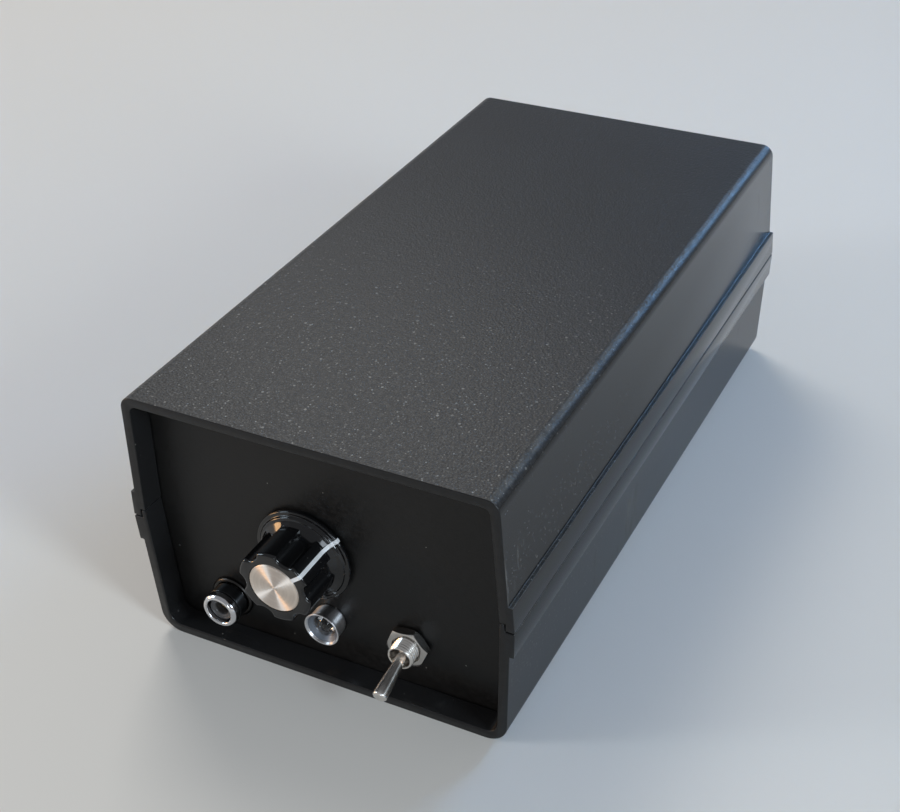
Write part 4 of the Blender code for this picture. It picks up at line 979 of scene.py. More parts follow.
def lip_height(case):
    """Height of the bottom half's edge at the parting line."""
    return PARTING - case.parting_gap / 2


def outer_half(case, radius):
    """The outside of one half, from the middle of its flat face to the parting line."""
    edge = lip_height(case)
    band = PARTING - case.band_height
    proud = case.band_proud
    points = [(0, 0), *corner(case, 0, radius), (side_x(case, band), band)]
    return points + [(side_x(case, band) + proud, band), (side_x(case, edge) + proud, edge)]


def inner_half(case, inset, radius):
    """The inside of one half, from its wall to the middle."""
    return [*reversed(corner(case, inset, radius)), (0, inset)]


def lower_section(case):
    """Section of the bottom half, with a tongue along the inside of its edge."""
    edge = lip_height(case)
    inside = side_x(case, edge, case.wall)
    outside = inside + case.tongue_width
    tip = edge + case.tongue_height
    tongue = [(outside, edge), (outside, tip), (inside, tip)]
    inner = inner_half(case, case.wall, case.lower_radius - case.wall)
    return both_sides(outer_half(case, case.lower_radius) + tongue + inner)


def upper_section(case):
    """Section of the top half, with a step that clears the tongue."""
    edge = lip_height(case)
    step = edge - case.tongue_height - FIT + case.parting_gap
    clear = side_x(case, edge, case.wall) + case.tongue_width + FIT
    rebate = [(clear, edge), (clear, step), (side_x(case, step, case.wall), step)]
    inner = inner_half(case, case.wall, case.inner_radius)
    return both_sides(flipped(outer_half(case, case.upper_radius) + rebate + inner))


def rib_section(case):
    """Section of the rib that a panel rests against, for the bottom half."""
    edge = lip_height(case) - case.tongue_height
    buried = case.wall - case.groove_depth
    proud = case.wall + case.rib_height
    outer = [(0, buried), *corner(case, buried, case.inner_radius)]
    rise = [(side_x(case, edge, buried), edge), (side_x(case, edge, proud), edge)]
    return both_sides(outer + rise + inner_half(case, proud, case.inner_radius))


def groove_section(case):
    """Outline of the slot that holds a panel in both halves."""
    inset = case.wall - case.groove_depth
    half = [(0, inset), *corner(case, inset, case.inner_radius)]
    return both_sides(half + [(side_x(case, PARTING, inset), PARTING)] + flipped(half)[::-1])


def along_case(outline, start, stop):
    """A section in X and Z, extruded along Y between two places."""
    start, stop = sorted((start, stop))
    return moved(prism(outline, -stop, -start), Matrix.Rotation(math.pi / 2, 4, "X"))


def panel_fixings(case, rib):
    """The ribs to add and the grooves to cut at both ends of a shell."""
    back, face = -PANEL_BACK, -FRONT_FACE
    ribs = [(end * back, end * (back - case.rib_thickness - FIT)) for end in (-1, 1)]
    grooves = [(end * (back - FIT), end * (face + FIT)) for end in (-1, 1)]
    changes = [("UNION", along_case(rib, *ends)) for ends in ribs]
    return changes + [("DIFFERENCE", along_case(groove_section(case), *ends)) for ends in grooves]


def places_of(prefix, count):
    """Centres of a numbered family of screws, as (x, y)."""
    middles = [sum(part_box(f"{prefix}_{number}"), Vector()) / 2 for number in range(1, count + 1)]
    return [(middle.x, middle.y) for middle in middles]


def sort_faces(mesh):
    """Gives faces that look into the case the second material, and both end rims the third."""
    for polygon in mesh.polygons:
        centre, normal = polygon.center, polygon.normal
        if abs(normal.y) > RIM_FACING:
            polygon.material_index = 2
        elif normal.x * centre.x + normal.z * (centre.z - PARTING) < 0:
            polygon.material_index = 1


def shell_piece(name, node, case, section, rib, finishes, raised, holes):
    """One shell, with its panel slots, its pillars and posts, and their bores."""
    shell = rounded_edges(along_case(section, -CASE_END, CASE_END), case.edge_radius)
    changes = panel_fixings(case, rib)
    changes += [("UNION", gathered(*raised)), ("DIFFERENCE", gathered(*holes))]
    made = piece(name, carved(shell, *changes), finishes, CASE, [node], "case_plastic")
    sort_faces(made.data)


def build_case(settings):
    """Both shells, their screws and the panels' finish."""
    case, look = settings.case, settings.finish
    # The end rims use a darker copy of the case plastic: the darker colour is painted shade on the
    # end faces.
    rim = plain_finish("case_rim", scaled(look.case, 0.8), 0.34, spread=0.3, IOR=1.37)
    finishes = [case_outer_finish(look, case), case_inner_finish(look), rim]
    edge = case.parting_gap / 2
    pillars = places_of("case_screw", 4)
    low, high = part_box("case_screw_1")
    head = (high.x - low.x) / 2 + FIT
    bore = COVER_SCREW + FIT
    sink = low.z + COVER_SCREW_HEAD + FIT

    raised, holes = [], []
    for x, y in pillars:
        raised.append(shifted(rod(case.pillar_radius, case.wall / 2, PARTING - edge), x, y))
        profile = [(0, -FIT), (head + FIT, -FIT), (head, FIT), (head, sink), (bore, sink)]
        profile += [(bore, PARTING + FIT), (0, PARTING + FIT)]
        holes.append(shifted(turned(profile, SMALL_ROUND), x, y))
    for prefix, count, held in HELD_DOWN:
        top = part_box(held)[0].z - FIT
        for x, y in places_of(prefix, count):
            raised.append(shifted(rod(case.post_radius, case.wall / 2, top), x, y))
            holes.append(shifted(rod(SMALL_SCREW + FIT, case.wall, top + FIT), x, y))
    section, rib = lower_section(case), rib_section(case)
    shell_piece("bottom_cover", "bottom_shell", case, section, rib, finishes, raised, holes)

    top, end = CASE_TOP - case.wall / 2, PARTING + case.screw_grip
    raised = [shifted(rod(case.upper_pillar_radius, PARTING + edge, top), x, y) for x, y in pillars]
    holes = [shifted(rod(bore, PARTING, end), x, y) for x, y in pillars]
    section, rib = upper_section(case), flipped(rib)
    shell_piece("top_cover", "top_shell", case, section, rib, finishes, raised, holes)

    steel = metal_finish("screw_steel", look.steel, (0, 0, 0), 0.32, scale=3000.0)
    for number in range(1, len(pillars) + 1):
        names = f"cover_screw_{number}", f"case_screw_{number}"
        screw_piece(*names, COVER_SCREW, COVER_SCREW_HEAD, steel, downwards=True)
    refinish(panel_finish(look), "front_panel", "rear_panel")


# ---------------------------------------------------------------- knob


def flute_outline(knob, fine=9):
    """Outline of the knob's body, with a lobe under the pointer and flutes between the lobes."""
    half, radius = knob.flute_angle, knob.body_radius
    floor = radius - knob.flute_depth
    centre = (radius**2 - floor**2) / (2 * (radius * math.cos(half) - floor))
    arc = centre - floor
    spacing = math.tau / knob.lobes
    outline = []
    for lobe in range(knob.lobes):
        middle = knob.pointer_angle + (lobe + 0.5) * spacing
        for step in range(-fine, fine + 1):
            turn = half * step / fine
            chord = math.sqrt(arc**2 - (centre * math.sin(turn)) ** 2)
            outline.append(on_circle(centre * math.cos(turn) - chord, middle + turn))
        for step in range(1, fine):
            outline.append(on_circle(radius, middle + half + step / fine * (spacing - 2 * half)))
    return outline


def build_knob(settings):
    """Fluted knob with a stepped skirt, its white pointer, spun disc, grip screw and shaft."""
    knob, look = settings.knob, settings.finish
    skirt, shaft = Fitting("tuning_knob"), Fitting("tuning_shaft")
    bearing_nut = Fitting("bearing_nut")
    centre = Vector(JOINTS["tuning_turn"]["pos_m"])
    seat = front_seat(centre.x, centre.z)
    low, high = skirt.back, skirt.out
    rim = low + knob.skirt_edge
    step = rim + knob.step_height
    foot = step + knob.cone_height
    body, cone = knob.body_radius, 0.9 * MM
    profile = [(0, low), (skirt.radius, low), (skirt.radius, rim)]
    profile += [(knob.step_radius + 0.25 * MM, rim), (knob.step_radius, step)]
    profile += [(body + cone, step + 0.15 * MM), (body - cone, foot), (0, foot)]
    base = soft_bar(profile, 0.45 * MM, 5, 2 * ROUND)

    grip = prism(flute_outline(knob), rim, high)
    face_edges = [
        edge for edge in grip.edges if all(abs(vert.co.z - high) < FIT / 10 for vert in edge.verts)
    ]
    bevelled(grip, face_edges, knob.face_bevel, 6)
    disc_seat = high - knob.disc_thickness
    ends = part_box("knob_set_screw")
    across = Matrix.Rotation(knob.pointer_angle + math.pi, 4, "Z")
    across = across @ Matrix.Rotation(math.pi / 2, 4, "Y")
    across = Matrix.Translation((0, 0, FRONT_FACE - (ends[0].y + ends[1].y) / 2)) @ across
    hole = moved(rod(GRUB_HOLE, shaft.radius, body + FIT), across)
    made = carved(
        grip,
        ("UNION", base),
        ("DIFFERENCE", rod(knob.disc_radius + FIT / 2, disc_seat, high + FIT, ROUND)),
        ("DIFFERENCE", rod(shaft.radius + FIT, low - FIT, shaft.out + FIT)),
        ("DIFFERENCE", rod(bearing_nut.radius + FIT, low - FIT, bearing_nut.out + 2 * FIT)),
        ("DIFFERENCE", hole),
    )
    gloss = polished_finish("knob_gloss", look.knob, look, 0.1)
    piece("knob_body", moved(made, seat), gloss, KNOB, [skirt.name], "knob_plastic", sharp=32.0)

    face, ring = high + FIT * 0.2, 0.15 * MM
    disc = [(0, disc_seat + FIT), (knob.disc_radius, disc_seat + FIT)]
    disc += [(knob.disc_radius, face - ring), (knob.disc_radius - ring, face), (0, face)]
    spun = spun_finish(look, centre)
    piece("knob_disc", moved(turned(disc), seat), spun, KNOB, ["knob_inlay"], "spun_aluminium")

    build_pointer(knob, look, seat, [
        (knob.disc_radius + 0.1 * MM, high), (body, high), (body, foot + 0.2 * MM),
        (body + 0.75 * MM, step + 0.1 * MM), (knob.step_radius, step),
        (knob.step_radius + 0.3 * MM, rim), (skirt.radius, rim), (skirt.radius, low + 0.2 * MM),
    ])

    steel = metal_finish("grip_steel", look.steel, centre, 0.3, scale=5000.0)
    start, stop = shaft.radius + FIT, body - cone
    cup, point = GRUB - 0.15 * MM, GRUB - 0.4 * MM
    profile = [(0, start), (point, start), (GRUB, start + 0.4 * MM), (GRUB, stop - 0.15 * MM)]
    profile += [(cup, stop), (0, stop)]
    key = prism(hexagon(GRUB), stop - 1.1 * MM, stop + FIT)
    grub = moved(drilled(soft_bar(profile, 0.05 * MM, 2), key), seat @ across)
    piece("grip_screw", grub, steel, KNOB, ["knob_set_screw"], "screw_steel")

    bar = [(0, shaft.back), (shaft.radius, shaft.back), (shaft.radius, shaft.out), (0, shaft.out)]
    steel = metal_finish("shaft_steel", look.steel, centre, 0.28, scale=6000.0)
    rounded = moved(soft_bar(bar, 0.4 * MM, 3, ROUND), seat)
    piece("control_shaft", rounded, steel, KNOB, [shaft.name], "screw_steel")


def build_pointer(knob, look, seat, path):
    """The white line, painted from the disc over the edge, down a lobe and across the skirt."""
    line = soften(path, 0.55 * MM, 6, closed=False)
    bm = bmesh.new()
    half = knob.pointer_width / 2
    points = [bm.verts.new((radius, -half, height)) for radius, height in line]
    edges = [bm.edges.new(pair) for pair in zip(points, points[1:])]
    grown = bmesh.ops.extrude_edge_only(bm, edges=edges)["geom"]
    across = [item for item in grown if isinstance(item, bmesh.types.BMVert)]
    bmesh.ops.translate(bm, verts=across, vec=(0, 2 * half, 0))
    bmesh.ops.recalc_face_normals(bm, faces=bm.faces)
    if sum(face.normal.z * face.calc_area() for face in bm.faces) < 0:
        bmesh.ops.reverse_faces(bm, faces=bm.faces)
    bmesh.ops.solidify(bm, geom=bm.faces, thickness=-PAINT)
    moved(settled(bm), seat @ Matrix.Rotation(knob.pointer_angle, 4, "Z"))
    paint = plain_finish("pointer_paint", look.pointer, 0.42, spread=0.12, scale=900.0, IOR=1.5)
    piece("knob_pointer", bm, paint, KNOB, [], "knob_plastic", sharp=40.0)


# ---------------------------------------------------------------- front fittings


def build_bearing(settings):
    """The shaft's threaded bearing and its nut, under the knob."""
    axis = JOINTS["tuning_turn"]["pos_m"]
    brass = metal_finish("bearing_brass", settings.finish.brass, axis, 0.3, scale=5000.0)
    bearing = Fitting("shaft_bearing")
    bore = Fitting("tuning_shaft").radius + 0.15 * MM
    back, out, threaded = bearing.back, bearing.out, 4.5 * MM
    flange = back + 1.5 * MM
    profile = [(bore, back), (bearing.radius, back), (bearing.radius, flange)]
    profile += thread(threaded, flange + 0.1 * MM, out - 0.1 * MM, 0.6 * MM, 0.14 * MM)
    profile += [(threaded - 0.2 * MM, out), (bore, out)]
    bearing.piece("panel_bearing", turned(profile), brass, "brass")
    flats, hole = 12.0 * MM, threaded + FIT
    nut_piece("bearing_lock_nut", Fitting("bearing_nut"), flats, hole, brass, "brass")


def build_lamp(settings):
    """Bright bezel with its nut, and a clear lamp with a reflector, a die and a wire inside."""
    size, look = settings.front, settings.finish
    bezel, lens = Fitting("lamp_bezel"), Fitting("indicator_lamp")
    back, top, lip, rim = bezel.back, bezel.out, size.bezel_lip, bezel.radius
    bore = lens.radius + FIT / 2
    body = rim - 0.4 * MM
    neck = body - size.bezel_neck
    profile = [(bore, back), (neck, back)]
    profile += thread(neck, back + 0.1 * MM, BEHIND_PANEL, *FINE_THREAD)
    profile += [(neck, -FIT), (neck, FIT), (body, FIT), (body, top - lip)]
    profile += [(body + 0.12 * MM, top - 0.65 * lip), (rim, top - 0.15 * MM), (rim, top)]
    profile += [(rim - size.bezel_edge, top), (rim - 0.55 * MM, top - 0.5 * MM)]
    profile += [(bore + 0.25 * MM, top - 0.85 * size.bezel_cup), (bore, top - size.bezel_cup)]
    centre = bezel.centre
    chrome = metal_finish(
        "bezel_chrome", look.chrome, centre, 0.34, mark=0.004, grain=0.92, scale=4500.0
    )
    cup = plain_finish("bezel_cup_grey", (0.17, 0.19, 0.22), 0.42, spread=0.2, Metallic=0.5)
    holder = soft_ring(profile, 0.07 * MM)
    made = bezel.piece("lamp_holder", holder, [chrome, cup], "chrome")
    for polygon in made.data.polygons:
        spot = polygon.center
        reach = math.hypot(spot.x - bezel.x, spot.z - bezel.z)
        polygon.material_index = int(reach < rim - 0.5 * MM and spot.y < FRONT_FACE)
    nut_piece("lamp_holder_nut", Fitting("lamp_nut"), 9.5 * MM, body, chrome, "chrome")

    tip, glass = lens.out, lens.radius
    foot, shoulder, skirt = tip - 8.5 * MM, tip - glass, glass + 0.12 * MM
    steps = 14
    dome = [on_circle(glass, math.pi / 2 * step / steps) for step in range(steps)]
    profile = [(0, foot), (skirt, foot), (skirt, foot + 0.9 * MM), (glass, foot + 1.0 * MM)]
    profile += [(x, shoulder + z) for x, z in dome] + [(0, tip)]
    lens.piece("lamp_lens", turned(profile), clear_finish(), "lamp_clear")

    cup_at = shoulder - 1.1 * MM
    dish = [(0, -1.4), (0.55, -1.4), (0.95, -0.3), (0.95, 0), (0.85, 0), (0.42, -0.45), (0, -0.45)]
    dish = turned([(x * MM, cup_at + z * MM) for x, z in dish], SMALL_ROUND)
    post, low = 0.25 * MM, foot - 9 * MM
    inside = gathered(
        shifted(dish, -0.35 * MM),
        block((-0.6 * MM - post, -post, low), (-0.6 * MM + post, post, cup_at - 1.2 * MM)),
        block((1.1 * MM, -post, low), (1.1 * MM + 2 * post, post, cup_at - 0.2 * MM)),
    )
    bright = metal_finish("lamp_reflector_silver", look.chrome, centre, 0.14, scale=3000.0)
    piece("lamp_leads", moved(inside, lens.seat), bright, CASE, [], "chrome")
    half, under = 0.15 * MM, cup_at - 0.45 * MM
    die = block((-0.5 * MM, -half, under), (-0.2 * MM, half, under + 0.2 * MM))
    die = moved(rounded_edges(die, 0.02 * MM), lens.seat)
    amber = plain_finish("lamp_die_amber", (0.75, 0.42, 0.18), 0.3)
    piece("lamp_die", die, amber, CASE, [], "lamp_clear")


def build_phono(settings):
    """Phono socket: bright ring on a black collar, insulator, centre contact, flange and nut."""
    size, look = settings.front, settings.finish
    ring, collar, flange = (Fitting("phono_" + name) for name in ("ring", "collar", "flange"))
    centre, edge = ring.centre, ring.radius
    bore, sleeve = size.phono_bore, size.phono_bore + size.phono_wall
    shoulder = ring.out - size.phono_ring

    def metal(name, colour, roughness, mark=0.004, grain=0.0):
        return metal_finish(name, colour, centre, roughness, mark, grain, scale=4500.0)

    chrome = metal("phono_chrome", look.chrome, 0.12, grain=0.5)
    profile = [(bore, ring.back), (sleeve, ring.back)]
    profile += thread(sleeve, ring.back + 0.2 * MM, BEHIND_PANEL, *FINE_THREAD)
    profile += [(sleeve, -2 * MM), (sleeve, shoulder), (edge - 0.12 * MM, shoulder)]
    profile += [(edge, shoulder + 0.2 * MM), (edge, ring.out - 0.55 * MM)]
    profile += [(edge - 0.5 * MM, ring.out), (bore + 0.2 * MM, ring.out)]
    profile += [(bore, ring.out - 0.2 * MM)]
    ring.piece("phono_barrel", soft_ring(profile, 0.24 * MM, 5), chrome, "chrome")

    gloss = metal("phono_black", (0.075, 0.08, 0.085), 0.32, 0.002, 0.93)
    dark = metal("phono_washer_dark", (0.05, 0.048, 0.046), 0.26)
    inner = sleeve + FIT
    waist = [(inner, collar.back), (collar.radius, collar.back)]
    waist += [(collar.radius, collar.out), (inner, collar.out)]
    collar.piece("phono_spacer", soft_ring(waist, 0.12 * MM), gloss, "knob_plastic")
    plate = [(inner, flange.back), (flange.radius, flange.back)]
    plate += [(flange.radius, flange.out - 0.25 * MM), (flange.radius - 0.35 * MM, flange.out)]
    plate += [(inner, flange.out)]
    flange.piece("phono_washer", soft_ring(plate, 0.08 * MM, 2), dark, "chrome")

    insulator = Fitting("phono_insulator")
    grey = polished_finish("phono_insulator_grey", (0.085, 0.083, 0.084), look, 0.35)
    face, pin, wide = insulator.out, size.pin_bore, insulator.radius
    recess = face - 0.35 * MM
    profile = [(pin, insulator.back), (wide, insulator.back), (wide, face - 0.25 * MM)]
    profile += [(wide - 0.3 * MM, face), (pin + 0.75 * MM, face), (pin + 0.6 * MM, recess)]
    profile += [(pin + 0.15 * MM, recess), (pin, face - 0.6 * MM)]
    insulator.piece("phono_core", soft_ring(profile, 0.08 * MM), grey, "knob_plastic")

    contact = Fitting("phono_contact")
    tail, mouth = contact.back, contact.out
    wide, inside = contact.radius, contact.radius - 0.4 * MM
    profile = [(0, tail), (inside, tail), (inside, tail + 4 * MM), (wide, tail + 4.2 * MM)]
    profile += [(wide, mouth), (inside, mouth), (inside, tail + 5 * MM), (0, tail + 5 * MM)]
    slots = cross(0.15 * MM, 2 * MM, mouth - 4 * MM, mouth + FIT)
    spring = drilled(soft_bar(profile, 0.1 * MM), slots)
    brass = metal_finish("phono_brass", look.brass, centre, 0.25, scale=4000.0)
    contact.piece("phono_spring", spring, brass, "brass")
    nut_piece("phono_lock_nut", Fitting("phono_nut"), 10.0 * MM, inner, chrome, "chrome")


def build_switch(settings):
    """Toggle switch: threaded bushing, nuts, lever, housing and terminals."""
    size, look = settings.front, settings.finish
    bushing, throw = Fitting("switch_bushing"), JOINTS["switch_throw"]
    centre, back, top = bushing.centre, bushing.back, bushing.out
    nickel = metal_finish(
        "switch_nickel", look.nickel, centre, 0.24, mark=0.001, grain=0.7, scale=5000.0
    )
    radius, plate = bushing.radius - 0.8 * MM, back + 0.8 * MM
    bore = size.bushing_bore
    floor = FRONT_FACE - throw["pos_m"][1] - 2.2 * MM
    profile = [(0, back), (bushing.radius, back), (bushing.radius, plate), (radius, plate)]
    cut = size.thread_pitch, size.thread_depth
    profile += thread(radius, plate + 0.15 * MM, top - 0.35 * MM, *cut)
    profile += [(radius - 0.1 * MM, top - 0.12 * MM), (radius - 0.25 * MM, top)]
    profile += [(bore + 0.1 * MM, top), (bore, top - 0.25 * MM), (bore, floor), (0, floor)]
    bushing.piece("switch_barrel", turned(profile), nickel, "nickel")
    duller = scaled(look.nickel, 0.68)
    bright = metal_finish("nut_nickel", duller, centre, 0.22, mark=0.001, scale=4000.0)
    for name, node, turn in (
        ("switch_nut", "switch_front_nut", size.nut_turn),
        ("switch_back_nut", "switch_rear_nut", 0.0),
    ):
        hole = radius + FIT / 2
        nut_piece(name, Fitting(node), size.nut_flats, hole, bright, "nickel", turn)

    reach, ball = 12.2 * MM, bore - 2 * FIT
    neck, tip = size.lever_neck, size.lever_tip
    arc = [on_circle(ball, math.radians(turn)) for turn in range(-80, 61, 10)]
    profile = [(0, -ball), *arc, (neck, ball + 0.1 * MM), (neck, 3.2 * MM)]
    profile += [(neck + 0.08 * MM, 5.2 * MM), (tip - 0.04 * MM, reach - 2.4 * MM)]
    profile += [(tip, reach - 1.2 * MM), (tip, reach - 0.3 * MM)]
    profile += [(tip - 0.28 * MM, reach), (0, reach)]
    tilt = math.pi / 2 + math.radians(throw["range_deg"][1]) / 2
    aim = Matrix.Translation(throw["pos_m"]) @ Matrix.Rotation(tilt, 4, "X")
    bat = moved(soft_bar(profile, 0.2 * MM, 4, ROUND), aim)
    polished = metal_finish(
        "lever_nickel", look.nickel, throw["pos_m"], 0.24, mark=0.0005, grain=0.88, scale=2500.0
    )
    piece("switch_bat", bat, polished, LEVER, ["switch_lever"], "nickel")

    dark = plain_finish("switch_resin", (0.012, 0.012, 0.013), 0.35, spread=0.2)
    shell = rounded_edges(block(*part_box("switch_housing")), 0.5 * MM)
    piece("switch_case", shell, dark, CASE, ["switch_housing"], "knob_plastic")
    brass = metal_finish("terminal_brass", look.brass, centre, 0.25, scale=3000.0)
    for number in (1, 2, 3):
        node = f"switch_terminal_{number}"
        low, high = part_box(node)
        middle = (low + high) / 2
        eye = shifted(rod(0.5 * MM, -2 * MM, 2 * MM, 16), middle.x, high.y - 1.2 * MM, middle.z)
        tag = drilled(rounded_edges(block(low, high), 0.12 * MM), eye)
        piece(f"switch_tag_{number}", tag, brass, CASE, [node], "brass")


# ---------------------------------------------------------------- rear fittings


def build_coax(settings):
    """Bayonet coaxial socket: hexagon flange, barrel with two lugs, insulator, contact and nut."""
    size, look = settings.rear, settings.finish
    socket = Fitting("coax_socket", rear=True)
    insulator = Fitting("coax_insulator", rear=True)
    contact = Fitting("coax_contact", rear=True)
    seat, centre = insulator.seat, insulator.centre
    nickel = metal_finish("coax_nickel", look.nickel, centre, 0.16, mark=0.006, scale=4000.0)
    back, top, threaded = socket.back, socket.out, 4.7 * MM
    outer, bore, inner = size.barrel_radius, size.barrel_bore, size.body_bore
    mouth = top - size.bore_depth
    step, edge = size.flange / 2, 0.25 * MM
    profile = [(inner, back), (threaded - 0.15 * MM, back)]
    profile += thread(threaded, back + 0.3 * MM, -0.3 * MM, 0.7 * MM, 0.18 * MM)
    profile += [(threaded, step), (outer, step), (outer, top - edge), (outer - edge, top)]
    profile += [(bore + 0.3 * MM, top), (bore, top - 0.6 * MM), (bore, mouth), (inner, mouth)]
    wide, narrow = size.flange_flats / 2 + 1.0 * MM, size.flange_flats / 2 - 0.1 * MM
    trim = [(0, FIT), (narrow + 0.05 * MM, FIT), (wide, 0.7 * MM), (wide, 1.4 * MM)]
    trim += [(narrow, size.flange), (0, size.flange)]
    flange = carved(
        prism(hexagon(size.flange_flats), FIT, size.flange),
        ("INTERSECT", turned(trim)),
        ("DIFFERENCE", rod(bore, 0, size.flange + FIT, ROUND)),
    )
    lugs = []
    for side in (-1, 1):
        lug = rounded_edges(rod(size.lug_radius, (bore + outer) / 2, size.lug_reach), 0.15 * MM, 2)
        turn = Matrix.Rotation(-side * math.pi / 2, 4, "X")
        lugs.append(shifted(moved(lug, turn), z=top - size.lug_setback))
    made = joined(flange, turned(profile), gathered(*lugs))
    piece("coax_shell", moved(made, seat), nickel, CASE, ["coax_socket"], "nickel")

    hole, nose, edge = contact.radius + FIT, 2.3 * MM, 0.3 * MM
    profile = [(hole, insulator.back), (insulator.radius, insulator.back)]
    profile += [(insulator.radius, mouth), (nose, mouth), (nose, insulator.out - edge)]
    profile += [(nose - edge, insulator.out), (hole, insulator.out)]
    white = plain_finish(
        "coax_insulator_white", (0.83, 0.82, 0.78), 0.38, spread=0.06, Subsurface_Weight=0.1
    )
    insulator.piece("coax_core", soft_ring(profile, 0.08 * MM), white, "white_insulator")

    pin, end, lip, hollow = contact.radius, contact.back, contact.out, 0.66 * MM
    profile = [(0, end), (pin, end), (pin, lip - 0.15 * MM), (pin - 0.12 * MM, lip)]
    profile += [(hollow, lip), (hollow, mouth), (0, mouth)]
    slots = cross(0.12 * MM, 2 * MM, lip - 3.5 * MM, lip + FIT)
    gold = metal_finish("contact_gold", (0.86, 0.62, 0.28), centre, 0.18, scale=5000.0)
    pin_shape = moved(drilled(turned(profile, SMALL_ROUND), slots), seat)
    piece("coax_pin", pin_shape, gold, CASE, [contact.name], "brass")
    lock = Fitting("coax_nut", rear=True)
    nut_piece("coax_lock_nut", lock, 13.0 * MM, threaded + FIT, nickel, "nickel")


def build_ground(settings):
    """Plain socket for the counterpoise wire: insulating head, metal sleeve and nut."""
    size, look = settings.rear, settings.finish
    socket = Fitting("ground_socket", rear=True)
    sleeve = Fitting("ground_sleeve", rear=True)
    head, top, back = socket.radius, size.ground_head, socket.back
    inner, well = sleeve.radius + FIT, top - 0.3 * MM
    threaded = inner + 0.9 * MM
    profile = [(inner, back), (threaded - 0.1 * MM, back)]
    profile += thread(threaded, back + 0.3 * MM, -0.3 * MM, 0.8 * MM, 0.16 * MM)
    profile += [(threaded, FIT), (head, FIT), (head, top - 0.9 * MM)]
    profile += [(head - 0.35 * MM, top - 0.25 * MM), (head - 0.8 * MM, top)]
    profile += [(inner + 1.0 * MM, top), (inner + 0.8 * MM, well), (inner, well)]
    gloss = polished_finish("ground_black", look.knob, look, 0.12)
    socket.piece("ground_head", soft_ring(profile, 0.12 * MM), gloss, "knob_plastic")
    end, bore, wide, edge = sleeve.back, size.ground_bore, sleeve.radius, 0.3 * MM
    profile = [(0, end), (wide - edge, end), (wide, end + edge), (wide, top)]
    profile += [(bore + 0.25 * MM, top), (bore, top - 0.35 * MM)]
    profile += [(bore, end + 2 * MM), (0, end + 2 * MM)]
    nickel = metal_finish("ground_nickel", look.nickel, socket.centre, 0.16, scale=4000.0)
    sleeve.piece("ground_tube", turned(profile), nickel, "nickel")
    lock = Fitting("ground_nut", rear=True)
    nut_piece("ground_lock_nut", lock, 2 * head, threaded + FIT, nickel, "nickel")


# ---------------------------------------------------------------- inside


def build_inside(settings):
    """Finishes of the capacitor and the board, and the coil, components, screws and leads."""
    look = settings.finish
    axis = JOINTS["tuning_turn"]["pos_m"]
    plate = metal_finish("plate_aluminium", look.aluminium, axis, 0.3, mark=0.01, scale=1500.0)
    brass = metal_finish("stator_brass", look.brass, axis, 0.28, scale=1500.0)
    ceramic = plain_finish("ceramic_white", (0.80, 0.78, 0.72), 0.3, spread=0.08, IOR=1.55)
    refinish(plate, "capacitor_frame", "rotor_plates")
    refinish(brass, "stator_plates")
    refinish(ceramic, "front_insulator", "rear_insulator")
    refinish(board_finish(look), "circuit_board")

    steel = metal_finish("small_screw_steel", look.steel, (0, 0, 0), 0.3, scale=3000.0)
    for prefix, count, _ in HELD_DOWN:
        for number in range(1, count + 1):
            names = f"{prefix}_steel_{number}", f"{prefix}_{number}"
            screw_piece(*names, SMALL_SCREW, SMALL_SCREW_HEAD, steel)

    low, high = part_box("toroid_core")
    middle = (low + high) / 2
    outer, bore = (high.x - low.x) / 2, 7.1 * MM
    section = [(bore, low.z), (outer, low.z), (outer, high.z), (bore, high.z)]
    core = shifted(soft_ring(section, 1.1 * MM, 6), middle.x, middle.y)
    red = plain_finish(
        "core_red", (0.40, 0.045, 0.035), 0.38, spread=0.25, scale=900.0, relief=0.03, IOR=1.5
    )
    piece("coil_core", core, red, CASE, ["toroid_core"], "core_red")
    build_winding(middle, outer, bore, low.z, high.z)
    build_components()
    for node, name, colour, roughness in (
        ("phono_lead", "lead_red", (0.42, 0.025, 0.02), 0.4),
        ("coax_lead", "lead_black", (0.015, 0.015, 0.016), 0.42),
    ):
        refinish(plain_finish(name, colour, roughness, spread=0.2, scale=500.0, IOR=1.5), node)


def build_winding(middle, outer, bore, low, high):
    """Enamelled wire wound round the core, evenly over most of the ring."""
    copper = metal_finish("enamelled_copper", (0.62, 0.22, 0.07), middle, 0.2, scale=3000.0)
    wire, away = 0.4 * MM, 0.7 * MM
    turns, fine = 14, 28
    arc = math.radians(300.0)
    half_wide, half_high = (outer - bore) / 2 + away, (high - low) / 2 + away
    centre_radius, centre_z = (outer + bore) / 2, (high + low) / 2
    route = []
    for step in range(turns * fine + 1):
        across, up = on_circle(1.0, math.tau * (step / fine) - math.pi / 4)
        reach = (abs(across) ** 4 + abs(up) ** 4) ** -0.25
        radius = centre_radius + half_wide * reach * across
        x, y = on_circle(radius, arc * (step / (turns * fine) - 0.5))
        route.append((middle.x + y, middle.y - x, centre_z + half_high * reach * up))
    tube_piece("coil_wire", route, wire, copper, CASE, ["toroid_winding"], "enamelled_copper")


def axial_body(half, radius, waist, span, lead):
    """A small component along local X with domed ends and a wire at each end."""
    profile = [(0, -span), (lead, -span), (lead, -half), (radius * 0.55, -half)]
    profile += [(radius, 0.5 * MM - half), (radius, 1.6 * MM - half), (waist, 2.2 * MM - half)]
    profile += [(side, -place) for side, place in reversed(profile)]
    return moved(soft_bar(profile, 0.25 * MM), Matrix.Rotation(math.pi / 2, 4, "Y"))


